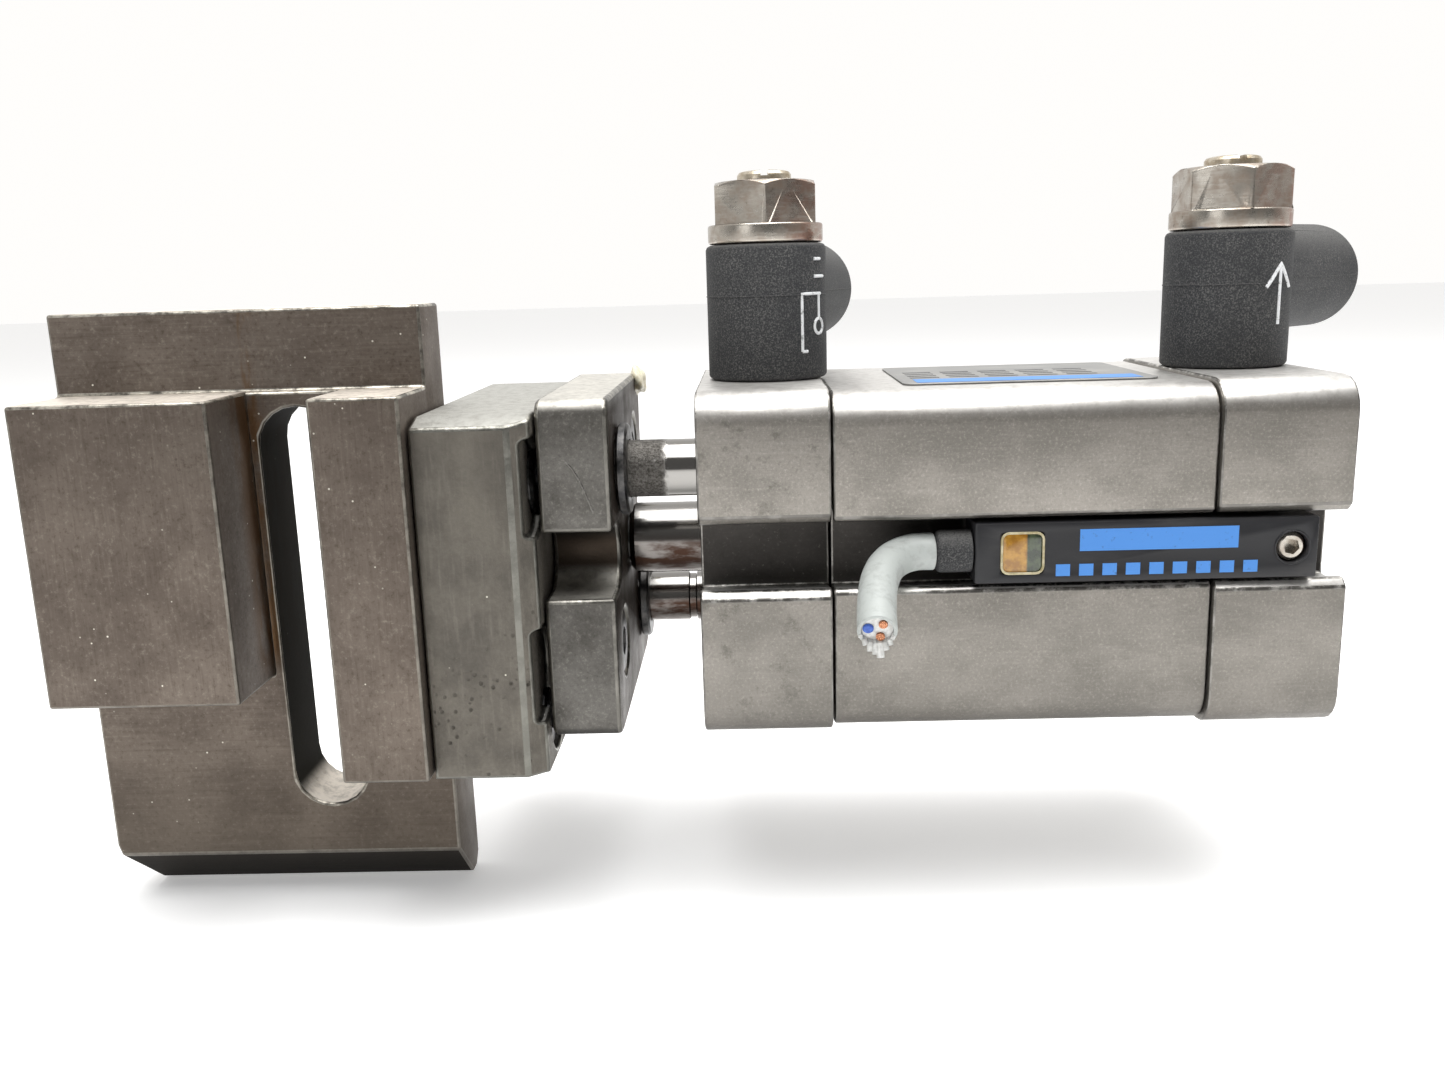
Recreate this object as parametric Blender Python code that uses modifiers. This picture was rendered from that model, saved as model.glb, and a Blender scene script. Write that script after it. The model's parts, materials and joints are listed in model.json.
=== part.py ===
"""Guided compact pneumatic cylinder that carries a fixed gripper jaw.

Frame: the origin is the centre of the rear cap's outer face, on the piston axis.
+X points out of that face, away from the jaw. +Z points up, to the air fittings.
-Y is the side that the proximity sensor sits on. Sizes below are in millimetres.
"""
import math

import bmesh
import bpy
from mathutils import Matrix, Vector

MM = 0.001
GAP = 0.2                    # clearance between touching pieces
SEAT_GAP = 0.08              # clearance where one face turns on another

# cylinder housing
BODY_HALF = 17.75            # half side of the square caps
BARREL_HALF = 17.4
CORNER_RADIUS = 3.4
BODY_LENGTH = 64.2
REAR_CAP_LENGTH = 13.1
FRONT_CAP_LENGTH = 13.4
FRONT_X = -BODY_LENGTH
FRONT_SEAM_X = FRONT_X + FRONT_CAP_LENGTH
REAR_SEAM_X = -REAR_CAP_LENGTH
BORE_RADIUS = 8.0

# sensor grooves
GROOVE_MOUTH = 3.4           # half width at the mouth
NEAR_GROOVE_Z = 1.2          # the sensor's groove is a little above the axis
GROOVE_INNER = 4.1           # half width behind the lips
GROOVE_LIP = 1.7
GROOVE_DEPTH = 5.5

# rods
ROD_RADIUS = 4.0
ROD_TAIL_RADIUS = 2.4
GUIDE_RADIUS = 3.0
GUIDE_OFFSET = 9.4           # from the piston axis, in Y and in Z
RUNNING_FIT = 0.08
GUIDE_REAR_X = -25.0
GUIDE_CORNERS = {"upper": (-GUIDE_OFFSET, GUIDE_OFFSET), "lower": (GUIDE_OFFSET, -GUIDE_OFFSET)}
FREE_CORNERS = ((GUIDE_OFFSET, GUIDE_OFFSET), (-GUIDE_OFFSET, -GUIDE_OFFSET))

# piston
PISTON_REAR_X = -14.6
PISTON_LENGTH = 9.7
PISTON_FRONT_X = PISTON_REAR_X - PISTON_LENGTH
PISTON_RADIUS = 7.85
SEAL_GROOVE_RADIUS = 6.3

# cap screws
CAP_SCREW_OFFSET = 12.9
CAP_SCREW_HEAD = (2.75, 3.0)     # radius, height
CAP_SCREW_SHANK = 1.5

# air fittings
FITTINGS = {"front": (-56.65, 14.0), "rear": (-6.87, 49.0)}   # X of the axis, outlet turn in degrees
PORT_FLOOR_Z = 6.3
CHANNEL_Z = 6.7
ELBOW_RADIUS = 6.5
ELBOW_TOP_Z = 32.1
OUTLET_RADIUS = 5.8
OUTLET_Z = 27.0
OUTLET_LENGTH = 20.0
SOCKET_DEPTH = 9.3           # from the upright axis to the tube socket's floor
RING_TRAVEL = 0.8
HEX_FLAT = 10.6
FLANGE_TOP_Z = 34.2
HEX_TOP_Z = 38.6
STEM_RADIUS = 2.5

# yoke, adapter and jaw
YOKE_REAR_X = -72.75
YOKE_FRONT_X = -79.95
YOKE_HALF = 17.5
YOKE_GROOVE = 3.45           # half width
YOKE_GROOVE_Z = 0.8
YOKE_GROOVE_DEPTH = 7.5
ADAPTER_X = (-91.7, YOKE_FRONT_X - GAP)
ADAPTER_Y = (-20.4, 20.0)
ADAPTER_Z = (-20.5, 16.3)
JAW_RIGHT_X = ADAPTER_X[0] - GAP
JAW_LEFT_X = -130.2
JAW_FACE_Y = -12.2
JAW_BACK_Y = -4.0
JAW_GRIP_Y = -21.9
JAW_TOP_Z = 18.7
JAW_BOTTOM_Z = -37.5
FLANGE_FACE_Y = -11.5
FLANGE_TOP = 27.0
BLOCK_X = (-129.6, -110.25)
BLOCK_LOW_Z = -11.6
BAR_LEFT_X = -100.7
BAR_LOW_Z = -20.1
JAW_SLOT_X = -105.4
JAW_SLOT_HALF = 4.0
JAW_SLOT_Z = (-26.5, 17.1)
JAW_CHAMFER = 5.3
JAW_SCREWS = ((-12.5, 9.0), (-12.5, -16.4))

# sensor
SENSOR_X = (-36.8, -3.2)
SENSOR_FACE_Y = -17.9
SENSOR_Z = NEAR_GROOVE_Z
SENSOR_HALF = 3.05
WINDOW_X = -32.1
CLAMP_SCREW_X = -5.7
CABLE_RADIUS = 1.85
BOOT_RADIUS = 2.15
CABLE_ROUTE = ((-40.7, -16.0, 1.2), (-42.6, -16.2, 1.2), (-44.4, -17.2, 0.9), (-45.8, -19.1, 0.3),
               (-46.7, -21.6, -0.7), (-47.2, -24.6, -2.0), (-47.5, -28.0, -3.5))

AXIS_FRAMES = {
    "X": Matrix(((0, 0, 1), (1, 0, 0), (0, 1, 0))),     # outline in Y and Z
    "Y": Matrix(((1, 0, 0), (0, 0, -1), (0, 1, 0))),    # outline in X and Z
    "Z": Matrix.Identity(3),                            # outline in X and Y
}


def clear_scene():
    for item in list(bpy.data.objects):
        bpy.data.objects.remove(item, do_unlink=True)


def make_collection(name):
    group = bpy.data.collections.new(name)
    bpy.context.scene.collection.children.link(group)
    return group


def make_material(name, color, roughness, metallic=0.0):
    mat = bpy.data.materials.new(name)
    mat.use_nodes = True
    shader = mat.node_tree.nodes["Principled BSDF"]
    shader.inputs["Base Color"].default_value = (*color, 1.0)
    shader.inputs["Roughness"].default_value = roughness
    shader.inputs["Metallic"].default_value = metallic
    mat.diffuse_color = (*color, 1.0)
    return mat


def finish_piece(obj, mat, body):
    """Files an object as a piece of the model, or as a cutter where it has no material."""
    if mat is None:
        CUTTERS.objects.link(obj)
        obj.hide_render = True
        obj.display_type = "WIRE"
        return obj
    PARTS.objects.link(obj)
    obj.data.materials.append(mat)
    if body is not None:
        obj.parent = body
        obj.matrix_parent_inverse = body.matrix_world.inverted()
    return obj


def from_bmesh(name, bm, mat=None, body=None, smooth=False):
    mesh = bpy.data.meshes.new(name)
    bmesh.ops.recalc_face_normals(bm, faces=bm.faces)
    bm.to_mesh(mesh)
    bm.free()
    if smooth:
        mesh.shade_smooth()
        mesh.set_sharp_from_angle(angle=math.radians(35))
    return finish_piece(bpy.data.objects.new(name, mesh), mat, body)


def box(name, low, high, mat=None, body=None, corner=0.0, corner_axis=0):
    """A box between two corners, with its edges along one axis rounded."""
    low, high = Vector(low) * MM, Vector(high) * MM
    bm = bmesh.new()
    size = Matrix.Diagonal((*(high - low), 1.0))
    bmesh.ops.create_cube(bm, size=1.0, matrix=Matrix.Translation((low + high) / 2) @ size)
    if corner:
        edges = [edge for edge in bm.edges
                 if abs((edge.verts[0].co - edge.verts[1].co).normalized()[corner_axis]) > 0.99]
        bmesh.ops.bevel(bm, geom=edges, offset=corner * MM, segments=5, profile=0.5, affect="EDGES")
    return from_bmesh(name, bm, mat, body)


def cylinder(name, start, end, radius, mat=None, body=None, sides=32):
    start, end = Vector(start) * MM, Vector(end) * MM
    along = (end - start).to_track_quat("Z", "Y").to_matrix().to_4x4()
    place = Matrix.Translation((start + end) / 2) @ along
    bm = bmesh.new()
    bmesh.ops.create_cone(bm, cap_ends=True, segments=sides, radius1=radius * MM,
                          radius2=radius * MM, depth=(end - start).length, matrix=place)
    return from_bmesh(name, bm, mat, body, smooth=sides > 8)


def turned(name, start, direction, profile, mat=None, body=None, steps=32, closed=False):
    """Turns a profile of (radius, distance along the axis), outer side from far end to near end."""
    mesh = bpy.data.meshes.new(name)
    bm = bmesh.new()
    verts = [bm.verts.new((radius * MM, 0.0, along * MM)) for radius, along in profile]
    pairs = list(zip(verts, verts[1:]))
    if closed:
        pairs.append((verts[-1], verts[0]))
    for pair in pairs:
        bm.edges.new(pair)
    bm.to_mesh(mesh)
    bm.free()
    obj = bpy.data.objects.new(name, mesh)
    obj.rotation_mode = "QUATERNION"
    obj.rotation_quaternion = Vector(direction).to_track_quat("Z", "Y")
    obj.location = Vector(start) * MM
    screw = obj.modifiers.new("turn", "SCREW")
    screw.steps = steps
    screw.render_steps = steps
    screw.use_merge_vertices = True
    screw.merge_threshold = 0.00001
    screw.use_smooth_shade = True
    return finish_piece(obj, mat, body)


def ring(name, start, direction, inner, outer, length, mat=None, body=None, steps=24):
    profile = ((outer, length), (outer, 0.0), (inner, 0.0), (inner, length))
    return turned(name, start, direction, profile, mat, body, steps, closed=True)


def flat_solid(name, outline, low, high, axis, mat=None, body=None):
    """A closed outline, given in the other two axes, made solid from low to high along an axis."""
    curve = bpy.data.curves.new(name, "CURVE")
    curve.dimensions = "2D"
    curve.fill_mode = "BOTH"
    curve.extrude = (high - low) / 2 * MM
    spline = curve.splines.new("POLY")
    spline.points.add(len(outline) - 1)
    for point, (first, second) in zip(spline.points, outline):
        point.co = (first * MM, second * MM, 0.0, 1.0)
    spline.use_cyclic_u = True
    maker = bpy.data.objects.new(name, curve)
    bpy.context.scene.collection.objects.link(maker)
    graph = bpy.context.evaluated_depsgraph_get()
    bm = bmesh.new()
    flat = bpy.data.meshes.new_from_object(maker.evaluated_get(graph))
    bm.from_mesh(flat)
    bpy.data.objects.remove(maker, do_unlink=True)
    bpy.data.meshes.remove(flat)
    middle = (low + high) / 2 * MM
    frame = AXIS_FRAMES[axis].to_4x4()
    shift = Vector([middle if letter == axis else 0.0 for letter in "XYZ"])
    bm.transform(Matrix.Translation(shift) @ frame)
    bmesh.ops.remove_doubles(bm, verts=bm.verts, dist=0.000001)
    return from_bmesh(name, bm, mat, body)


def boolean(obj, other, operation="DIFFERENCE"):
    step = obj.modifiers.new(other.name, "BOOLEAN")
    step.operation = operation
    step.solver = "EXACT"
    step.object = other


def drill(obj, start, end, radius, sides=18):
    boolean(obj, cylinder("drill_" + obj.name, start, end, radius, sides=sides))


def bore_x(obj, x_from, x_to, y, z, radius, sides=18):
    drill(obj, (x_from, y, z), (x_to, y, z), radius, sides)


def cap_screw(name, seat, direction, head, shank_radius, shank_length, mat, body=None):
    """A socket head cap screw: seat is the point under the head, direction the way it goes in."""
    head_radius, head_height = head
    profile = ((0.0, head_height), (head_radius - 0.3, head_height), (head_radius, head_height - 0.3),
               (head_radius, 0.0), (shank_radius, 0.0), (shank_radius, -shank_length), (0.0, -shank_length))
    outward = -Vector(direction)
    screw = turned(name, seat, outward, profile, mat, body, steps=14)
    top = Vector(seat) + outward * (head_height + 0.5)
    floor = Vector(seat) + outward * (head_height * 0.4)
    boolean(screw, cylinder("socket_" + name, top, floor, head_radius * 0.5, sides=6))
    return screw


def sensor_grooves():
    """Cutters for the T-shaped grooves along the near, far and bottom sides."""
    edge = BODY_HALF + 1.0
    lip = BODY_HALF - GROOVE_LIP
    floor = BODY_HALF - GROOVE_DEPTH
    flare = GROOVE_MOUTH + 0.8
    half = ((flare + 1.0, edge), (flare, BODY_HALF), (GROOVE_MOUTH, BODY_HALF - 0.8),
            (GROOVE_MOUTH, lip), (GROOVE_INNER, lip - 0.5), (GROOVE_INNER, floor))
    outline = list(half) + [(-wide, deep) for wide, deep in reversed(half)]
    sides = {"near": [(-deep, NEAR_GROOVE_Z + wide) for wide, deep in outline],
             "far": [(deep, wide) for wide, deep in outline],
             "bottom": [(wide, -deep) for wide, deep in outline]}
    return [flat_solid("groove_" + side, points, FRONT_X - 2, 2, "X") for side, points in sides.items()]


def make_housing():
    grooves = sensor_grooves()
    spans = {"front_cap": (FRONT_X, FRONT_SEAM_X - GAP / 2, BODY_HALF),
             "barrel": (FRONT_SEAM_X + GAP / 2, REAR_SEAM_X - GAP / 2, BARREL_HALF),
             "rear_cap": (REAR_SEAM_X + GAP / 2, 0.0, BODY_HALF)}
    blocks = {}
    for name, (x_low, x_high, half) in spans.items():
        blocks[name] = box(name, (x_low, -half, -half), (x_high, half, half), ALUMINIUM,
                           corner=CORNER_RADIUS)
        for groove in grooves:
            boolean(blocks[name], groove)
    return blocks["front_cap"], blocks["barrel"], blocks["rear_cap"]


def drill_housing(front_cap, barrel, rear_cap):
    bore_x(barrel, FRONT_SEAM_X - 1, REAR_SEAM_X + 1, 0, 0, BORE_RADIUS, sides=48)
    bore_x(front_cap, FRONT_X - 1, FRONT_X + 3, 0, 0, 6.3, sides=24)
    bore_x(front_cap, FRONT_X + 2, FRONT_SEAM_X + 1, 0, 0, 5.3, sides=24)
    for y, z in GUIDE_CORNERS.values():
        bore_x(front_cap, FRONT_X - 1, FRONT_SEAM_X - 2, y, z, 4.1)
        bore_x(front_cap, FRONT_X + 2, FRONT_SEAM_X + 1, y, z, GUIDE_RADIUS + 0.2)
        bore_x(barrel, FRONT_SEAM_X - 1, GUIDE_REAR_X + 0.6, y, z, GUIDE_RADIUS + 0.2)


def seal_groove(cap, name, face_x, outward):
    """O-ring in the cap's inner face, around the bore."""
    groove = ring("groove_" + name, (face_x + outward * 0.5, 0, 0), (-outward, 0, 0), 8.2, 9.4, 1.7)
    boolean(cap, groove)
    ring(name, (face_x - outward * GAP, 0, 0), (-outward, 0, 0), 8.4, 9.2, 0.8, RUBBER)


def make_port(cap, name, channel_end_x):
    """Threaded air port from the top, with its channel to the cylinder's chamber."""
    x = FITTINGS[name][0]
    drill(cap, (x, 0, BODY_HALF + 1), (x, 0, PORT_FLOOR_Z), STEM_RADIUS + 0.3)
    drill(cap, (x, 0, CHANNEL_Z), (channel_end_x, 0, CHANNEL_Z), 1.0, sides=12)


def screw_down_cap(cap, barrel, name, face_x, inward, corners):
    reach = CAP_SCREW_HEAD[1] + 0.2
    for number, (y, z) in enumerate(corners, start=1):
        bore_x(cap, face_x - inward, face_x + inward * (reach + GAP), y, z, CAP_SCREW_HEAD[0] + 0.25)
        bore_x(cap, face_x, face_x + inward * 15, y, z, CAP_SCREW_SHANK + 0.2, sides=16)
        bore_x(barrel, face_x + inward * 10, face_x + inward * 22.8, y, z, CAP_SCREW_SHANK + 0.2, sides=16)
        cap_screw(f"{name}_{number}", (face_x + inward * reach, y, z), (inward, 0, 0), CAP_SCREW_HEAD,
                  CAP_SCREW_SHANK, 19.0, STEEL)


def make_guides():
    """Bushes that the rods run in, the rod's wiper and the end bumpers."""
    ring("rod_wiper", (FRONT_X + GAP, 0, 0), (1, 0, 0), ROD_RADIUS + RUNNING_FIT, 6.1, 2.5, RUBBER)
    ring("rod_bush", (FRONT_X + 3.2, 0, 0), (1, 0, 0), ROD_RADIUS + RUNNING_FIT, 5.1,
         FRONT_CAP_LENGTH - 3.6, BRONZE)
    for name, (y, z) in GUIDE_CORNERS.items():
        ring("guide_bush_" + name, (FRONT_X + GAP, y, z), (1, 0, 0), GUIDE_RADIUS + RUNNING_FIT, 3.9,
             10.8, BRONZE)
    ring("front_bumper", (FRONT_SEAM_X + 0.3, 0, 0), (1, 0, 0), ROD_RADIUS + 0.15, 5.2, 0.9, RUBBER)
    cylinder("rear_bumper", (REAR_SEAM_X - 0.3, 0, 0), (REAR_SEAM_X - 1.2, 0, 0), 5.0, RUBBER)


def make_label():
    z_low = BARREL_HALF + 0.05
    box("name_label", (-43.0, -11.0, z_low), (-17.0, 11.0, z_low + 0.15), LABEL, corner=1.2, corner_axis=2)


def make_sensor():
    x_low, x_high = SENSOR_X
    bottom, top = SENSOR_Z - SENSOR_HALF, SENSOR_Z + SENSOR_HALF
    back_y = SENSOR_FACE_Y + 5.2
    housing = box("sensor_housing", (x_low, SENSOR_FACE_Y, bottom), (x_high, back_y, top), BLACK,
                  corner=0.4, corner_axis=1)
    window_half = 2.1
    boolean(housing, box("window_recess", (WINDOW_X - window_half, SENSOR_FACE_Y - 1, SENSOR_Z - window_half),
                         (WINDOW_X + window_half, SENSOR_FACE_Y + 0.9, SENSOR_Z + window_half)))
    drill(housing, (CLAMP_SCREW_X, SENSOR_FACE_Y - 1, SENSOR_Z), (CLAMP_SCREW_X, back_y + 1, SENSOR_Z), 1.6)
    glass_half = window_half - 0.1
    box("sensor_window", (WINDOW_X - glass_half, SENSOR_FACE_Y + 0.1, SENSOR_Z - glass_half),
        (WINDOW_X + glass_half, SENSOR_FACE_Y + 0.8, SENSOR_Z + glass_half), AMBER)
    screw = cylinder("sensor_clamp_screw", (CLAMP_SCREW_X, SENSOR_FACE_Y + 0.2, SENSOR_Z),
                     (CLAMP_SCREW_X, back_y - 0.2, SENSOR_Z), 1.4, NICKEL, sides=20)
    boolean(screw, cylinder("socket_sensor_screw", (CLAMP_SCREW_X, SENSOR_FACE_Y - 1, SENSOR_Z),
                            (CLAMP_SCREW_X, SENSOR_FACE_Y + 1.4, SENSOR_Z), 0.8, sides=6))
    exit_x, exit_y, exit_z = CABLE_ROUTE[0]
    cylinder("sensor_boot", (x_low - GAP, exit_y, exit_z), (exit_x + GAP, exit_y, exit_z), BOOT_RADIUS,
             BLACK, sides=20)


def make_cable():
    """The cut cable stub, a tube along its route, and the ends of its three wires."""
    curve = bpy.data.curves.new("cable_stub", "CURVE")
    curve.dimensions = "3D"
    curve.bevel_depth = CABLE_RADIUS * MM
    curve.bevel_resolution = 3
    curve.use_fill_caps = True
    spline = curve.splines.new("POLY")
    spline.points.add(len(CABLE_ROUTE) - 1)
    for point, place in zip(spline.points, CABLE_ROUTE):
        point.co = (*(Vector(place) * MM), 1.0)
    finish_piece(bpy.data.objects.new("cable_stub", curve), CABLE_GREY, None)
    end = Vector(CABLE_ROUTE[-1])
    along = (end - Vector(CABLE_ROUTE[-2])).normalized()
    side = along.cross(Vector((0, 0, 1))).normalized()
    cores = {"brown": (CORE_BROWN, 110), "black": (BLACK, 230), "blue": (CORE_BLUE, 350)}
    for color, (mat, degrees) in cores.items():
        around = Matrix.Rotation(math.radians(degrees), 3, along) @ side
        start = end + around * 0.85 + along * 0.1
        cylinder("cable_core_" + color, start, start + along * 0.8, 0.6, mat, sides=12)


def make_valve(name):
    """Elbow flow valve: hollow screw, washer, swivelling elbow, needle and push-in socket."""
    x, turn_degrees = FITTINGS[name]
    elbow_body = make_body(name + "_elbow_axis", (x, 0, 0))
    needle_body = make_body(name + "_needle_axis", (x, 0, 0))
    ring_body = make_body(name + "_release_axis", (x, 0, OUTLET_Z))
    turn = math.radians(turn_degrees)
    out = Vector((math.sin(turn), math.cos(turn), 0))
    axis = Vector((x, 0, OUTLET_Z))
    make_hollow_screw(name, x)
    make_elbow(name, x, axis, out, elbow_body)
    make_needle(name, x, needle_body)
    sleeve = ((4.6, 8.0), (4.6, 7.3), (3.4, 7.3), (3.4, 0.0), (2.2, 0.0), (2.2, 8.0))
    turned(name + "_release_ring", axis + out * (OUTLET_LENGTH - 6.4), out, sleeve, BLACK, ring_body, steps=20, closed=True)
    ring(name + "_tube_collet", axis + out * (SOCKET_DEPTH + 1.4), out, 2.2, 3.8, 1.9, BRASS, elbow_body,
         steps=20)
    ring(name + "_tube_seal", axis + out * (SOCKET_DEPTH + 0.2), out, 2.0, 3.8, 0.9, RUBBER, elbow_body,
         steps=20)


def make_elbow(name, x, axis, out, body):
    bottom = BODY_HALF + SEAT_GAP
    chamfer = 0.4
    shell = ((0, ELBOW_TOP_Z), (ELBOW_RADIUS - chamfer, ELBOW_TOP_Z), (ELBOW_RADIUS, ELBOW_TOP_Z - chamfer),
             (ELBOW_RADIUS, bottom), (0, bottom))
    elbow = turned(name + "_elbow_body", (x, 0, 0), (0, 0, 1), shell, BLACK, body, steps=28)
    tip = 1.6
    arc = [math.radians(30 * step) for step in range(4)]
    rounded = [(OUTLET_RADIUS - tip + tip * math.sin(angle), OUTLET_LENGTH - tip + tip * math.cos(angle))
               for angle in arc]
    outlet = [(0, OUTLET_LENGTH)] + rounded + [(OUTLET_RADIUS, 0.5), (0, 0.5)]
    boolean(elbow, turned("outlet_" + name, axis, out, outlet, steps=24), "UNION")
    seat = bottom + 1.3
    bore = ((0, ELBOW_TOP_Z + 5), (6.4, ELBOW_TOP_Z + 5), (6.4, ELBOW_TOP_Z), (3.2, ELBOW_TOP_Z), (3.2, seat),
            (5.3, seat), (5.3, bottom - 1), (0, bottom - 1))
    boolean(elbow, turned("bore_" + name, (x, 0, 0), (0, 0, 1), bore, steps=20))
    mouth = OUTLET_LENGTH + 1
    socket = ((0, mouth), (4.0, mouth), (4.0, SOCKET_DEPTH), (1.5, SOCKET_DEPTH), (1.5, 2.0), (0, 2.0))
    boolean(elbow, turned("socket_" + name, axis, out, socket, steps=18))
    ring(name + "_port_washer", (x, 0, bottom), (0, 0, 1), STEM_RADIUS + 0.2, 5.0, 1.0, NICKEL, steps=20)


def make_hollow_screw(name, x):
    stem_low = PORT_FLOOR_Z + 2.0
    flange_low = ELBOW_TOP_Z + SEAT_GAP
    stem = ((0, FLANGE_TOP_Z), (6.15, FLANGE_TOP_Z), (6.2, FLANGE_TOP_Z - 0.1), (6.2, flange_low),
            (STEM_RADIUS, flange_low), (STEM_RADIUS, stem_low), (0, stem_low))
    screw = turned(name + "_hollow_screw", (x, 0, 0), (0, 0, 1), stem, NICKEL, steps=28)
    corner = HEX_FLAT / 2 / math.cos(math.radians(30))
    hexagon = cylinder("hexagon_" + name, (x, 0, FLANGE_TOP_Z - 0.5), (x, 0, HEX_TOP_Z), corner, sides=6)
    boolean(screw, hexagon, "UNION")
    drill(screw, (x, 0, HEX_TOP_Z + 1), (x, 0, stem_low - 1), 1.7, sides=16)
    drill(screw, (x, -7, OUTLET_Z), (x, 7, OUTLET_Z), 0.9, sides=12)


def make_needle(name, x, body):
    top = HEX_TOP_Z + 1.1
    profile = ((0, top), (2.6, top), (2.9, top - 0.3), (2.9, HEX_TOP_Z + GAP), (1.45, HEX_TOP_Z + GAP),
               (1.45, 26.0), (0.5, 21.0), (0, 21.0))
    needle = turned(name + "_needle_screw", (x, 0, 0), (0, 0, 1), profile, BRASS, body, steps=16)
    boolean(needle, box("slot_" + name, (x - 0.4, -4, top - 0.6), (x + 0.4, 4, top + 1)))


def make_rod(carriage):
    """Piston rod with the reduced tail that holds the piston, and the thread for the yoke screw."""
    front = YOKE_REAR_X + GAP
    shoulder = PISTON_FRONT_X - GAP
    tail_end = PISTON_REAR_X - 0.4
    length = tail_end - front
    profile = ((0, length), (ROD_TAIL_RADIUS, length), (ROD_TAIL_RADIUS, shoulder - front),
               (ROD_RADIUS, shoulder - front), (ROD_RADIUS, 0.5), (ROD_RADIUS - 0.5, 0), (0, 0))
    rod = turned("piston_rod", (front, 0, 0), (1, 0, 0), profile, CHROME, carriage, steps=28)
    bore_x(rod, front - 1, front + 13, 0, 0, 2.6, sides=16)


def make_piston(carriage):
    outer, floor = PISTON_RADIUS, SEAL_GROOVE_RADIUS
    bore = ROD_TAIL_RADIUS + GAP
    pocket = 4.9
    profile = [(outer, PISTON_LENGTH)]
    for low, high, depth in ((7.1, 8.7, floor), (3.4, 6.3, 5.3), (1.0, 2.6, floor)):
        profile += [(outer, high), (depth, high), (depth, low), (outer, low)]
    profile += [(outer, 0.0), (bore, 0.0), (bore, PISTON_LENGTH - 3.4), (pocket, PISTON_LENGTH - 3.4),
                (pocket, PISTON_LENGTH)]
    turned("piston", (PISTON_FRONT_X, 0, 0), (1, 0, 0), profile, ALUMINIUM, carriage, steps=28, closed=True)
    for name, low in (("piston_seal_front", 1.2), ("piston_seal_rear", 7.3)):
        ring(name, (PISTON_FRONT_X + low, 0, 0), (1, 0, 0), floor + 0.15, 7.92, 1.2, RUBBER, carriage)
    ring("magnet_ring", (PISTON_FRONT_X + 3.6, 0, 0), (1, 0, 0), 5.5, 7.6, 2.5, BLACK, carriage)
    nut = cylinder("piston_nut", (PISTON_REAR_X - 3.2, 0, 0), (PISTON_REAR_X - 0.5, 0, 0), 4.6, STEEL,
                   carriage, sides=6)
    bore_x(nut, PISTON_REAR_X - 4, PISTON_REAR_X + 1, 0, 0, bore, sides=16)


def make_guide_rods(carriage):
    front = YOKE_REAR_X - 3.5
    for name, (y, z) in GUIDE_CORNERS.items():
        length = GUIDE_REAR_X - front
        profile = ((0, length), (GUIDE_RADIUS - 0.4, length), (GUIDE_RADIUS, length - 0.4),
                   (GUIDE_RADIUS, 0), (0, 0))
        rod = turned("guide_rod_" + name, (front, y, z), (1, 0, 0), profile, CHROME, carriage, steps=24)
        bore_x(rod, front - 1, front + 8, y, z, 1.75, sides=16)
        ring("guide_collar_" + name, (YOKE_REAR_X + GAP, y, z), (1, 0, 0), GUIDE_RADIUS + 0.1, 4.8, 1.1,
             STEEL, carriage)
        cap_screw("guide_rod_screw_" + name, (YOKE_FRONT_X + 2.2, y, z), (1, 0, 0), (2.9, 1.9), 1.5, 6.5,
                  STEEL, carriage)


def make_yoke(carriage):
    yoke = box("yoke_plate", (YOKE_FRONT_X, -YOKE_HALF, -YOKE_HALF), (YOKE_REAR_X, YOKE_HALF, YOKE_HALF),
               STEEL_DARK, carriage, corner=1.8)
    floor = YOKE_HALF - YOKE_GROOVE_DEPTH + YOKE_GROOVE
    low_z, high_z = YOKE_GROOVE_Z - YOKE_GROOVE, YOKE_GROOVE_Z + YOKE_GROOVE
    for side in (-1, 1):
        mouth = sorted((side * floor, side * (YOKE_HALF + 2)))
        boolean(yoke, box("yoke_groove", (YOKE_FRONT_X - 1, mouth[0], low_z),
                          (YOKE_REAR_X + 1, mouth[1], high_z)))
        bore_x(yoke, YOKE_FRONT_X - 1, YOKE_REAR_X + 1, side * floor, YOKE_GROOVE_Z, YOKE_GROOVE)
    bore_x(yoke, YOKE_FRONT_X - 1, YOKE_REAR_X + 1, 0, 0, 2.6)
    bore_x(yoke, YOKE_FRONT_X - 1, YOKE_FRONT_X + 4.2, 0, 0, 4.5)
    for y, z in GUIDE_CORNERS.values():
        bore_x(yoke, YOKE_REAR_X - 3.7, YOKE_REAR_X + 1, y, z, GUIDE_RADIUS + 0.1)
        bore_x(yoke, YOKE_FRONT_X - 1, YOKE_REAR_X, y, z, 1.75, sides=16)
        bore_x(yoke, YOKE_FRONT_X - 1, YOKE_FRONT_X + 2.3, y, z, 3.1)
    for y, z in FREE_CORNERS:
        bore_x(yoke, YOKE_FRONT_X - 1, YOKE_REAR_X + 1, y, z, 2.2, sides=16)
        bore_x(yoke, YOKE_REAR_X - 4.0, YOKE_REAR_X + 1, y, z, 3.7)
    cap_screw("yoke_screw", (YOKE_FRONT_X + 4.1, 0, 0), (1, 0, 0), (4.25, 3.9), 2.4, 13.0, STEEL, carriage)


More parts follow.
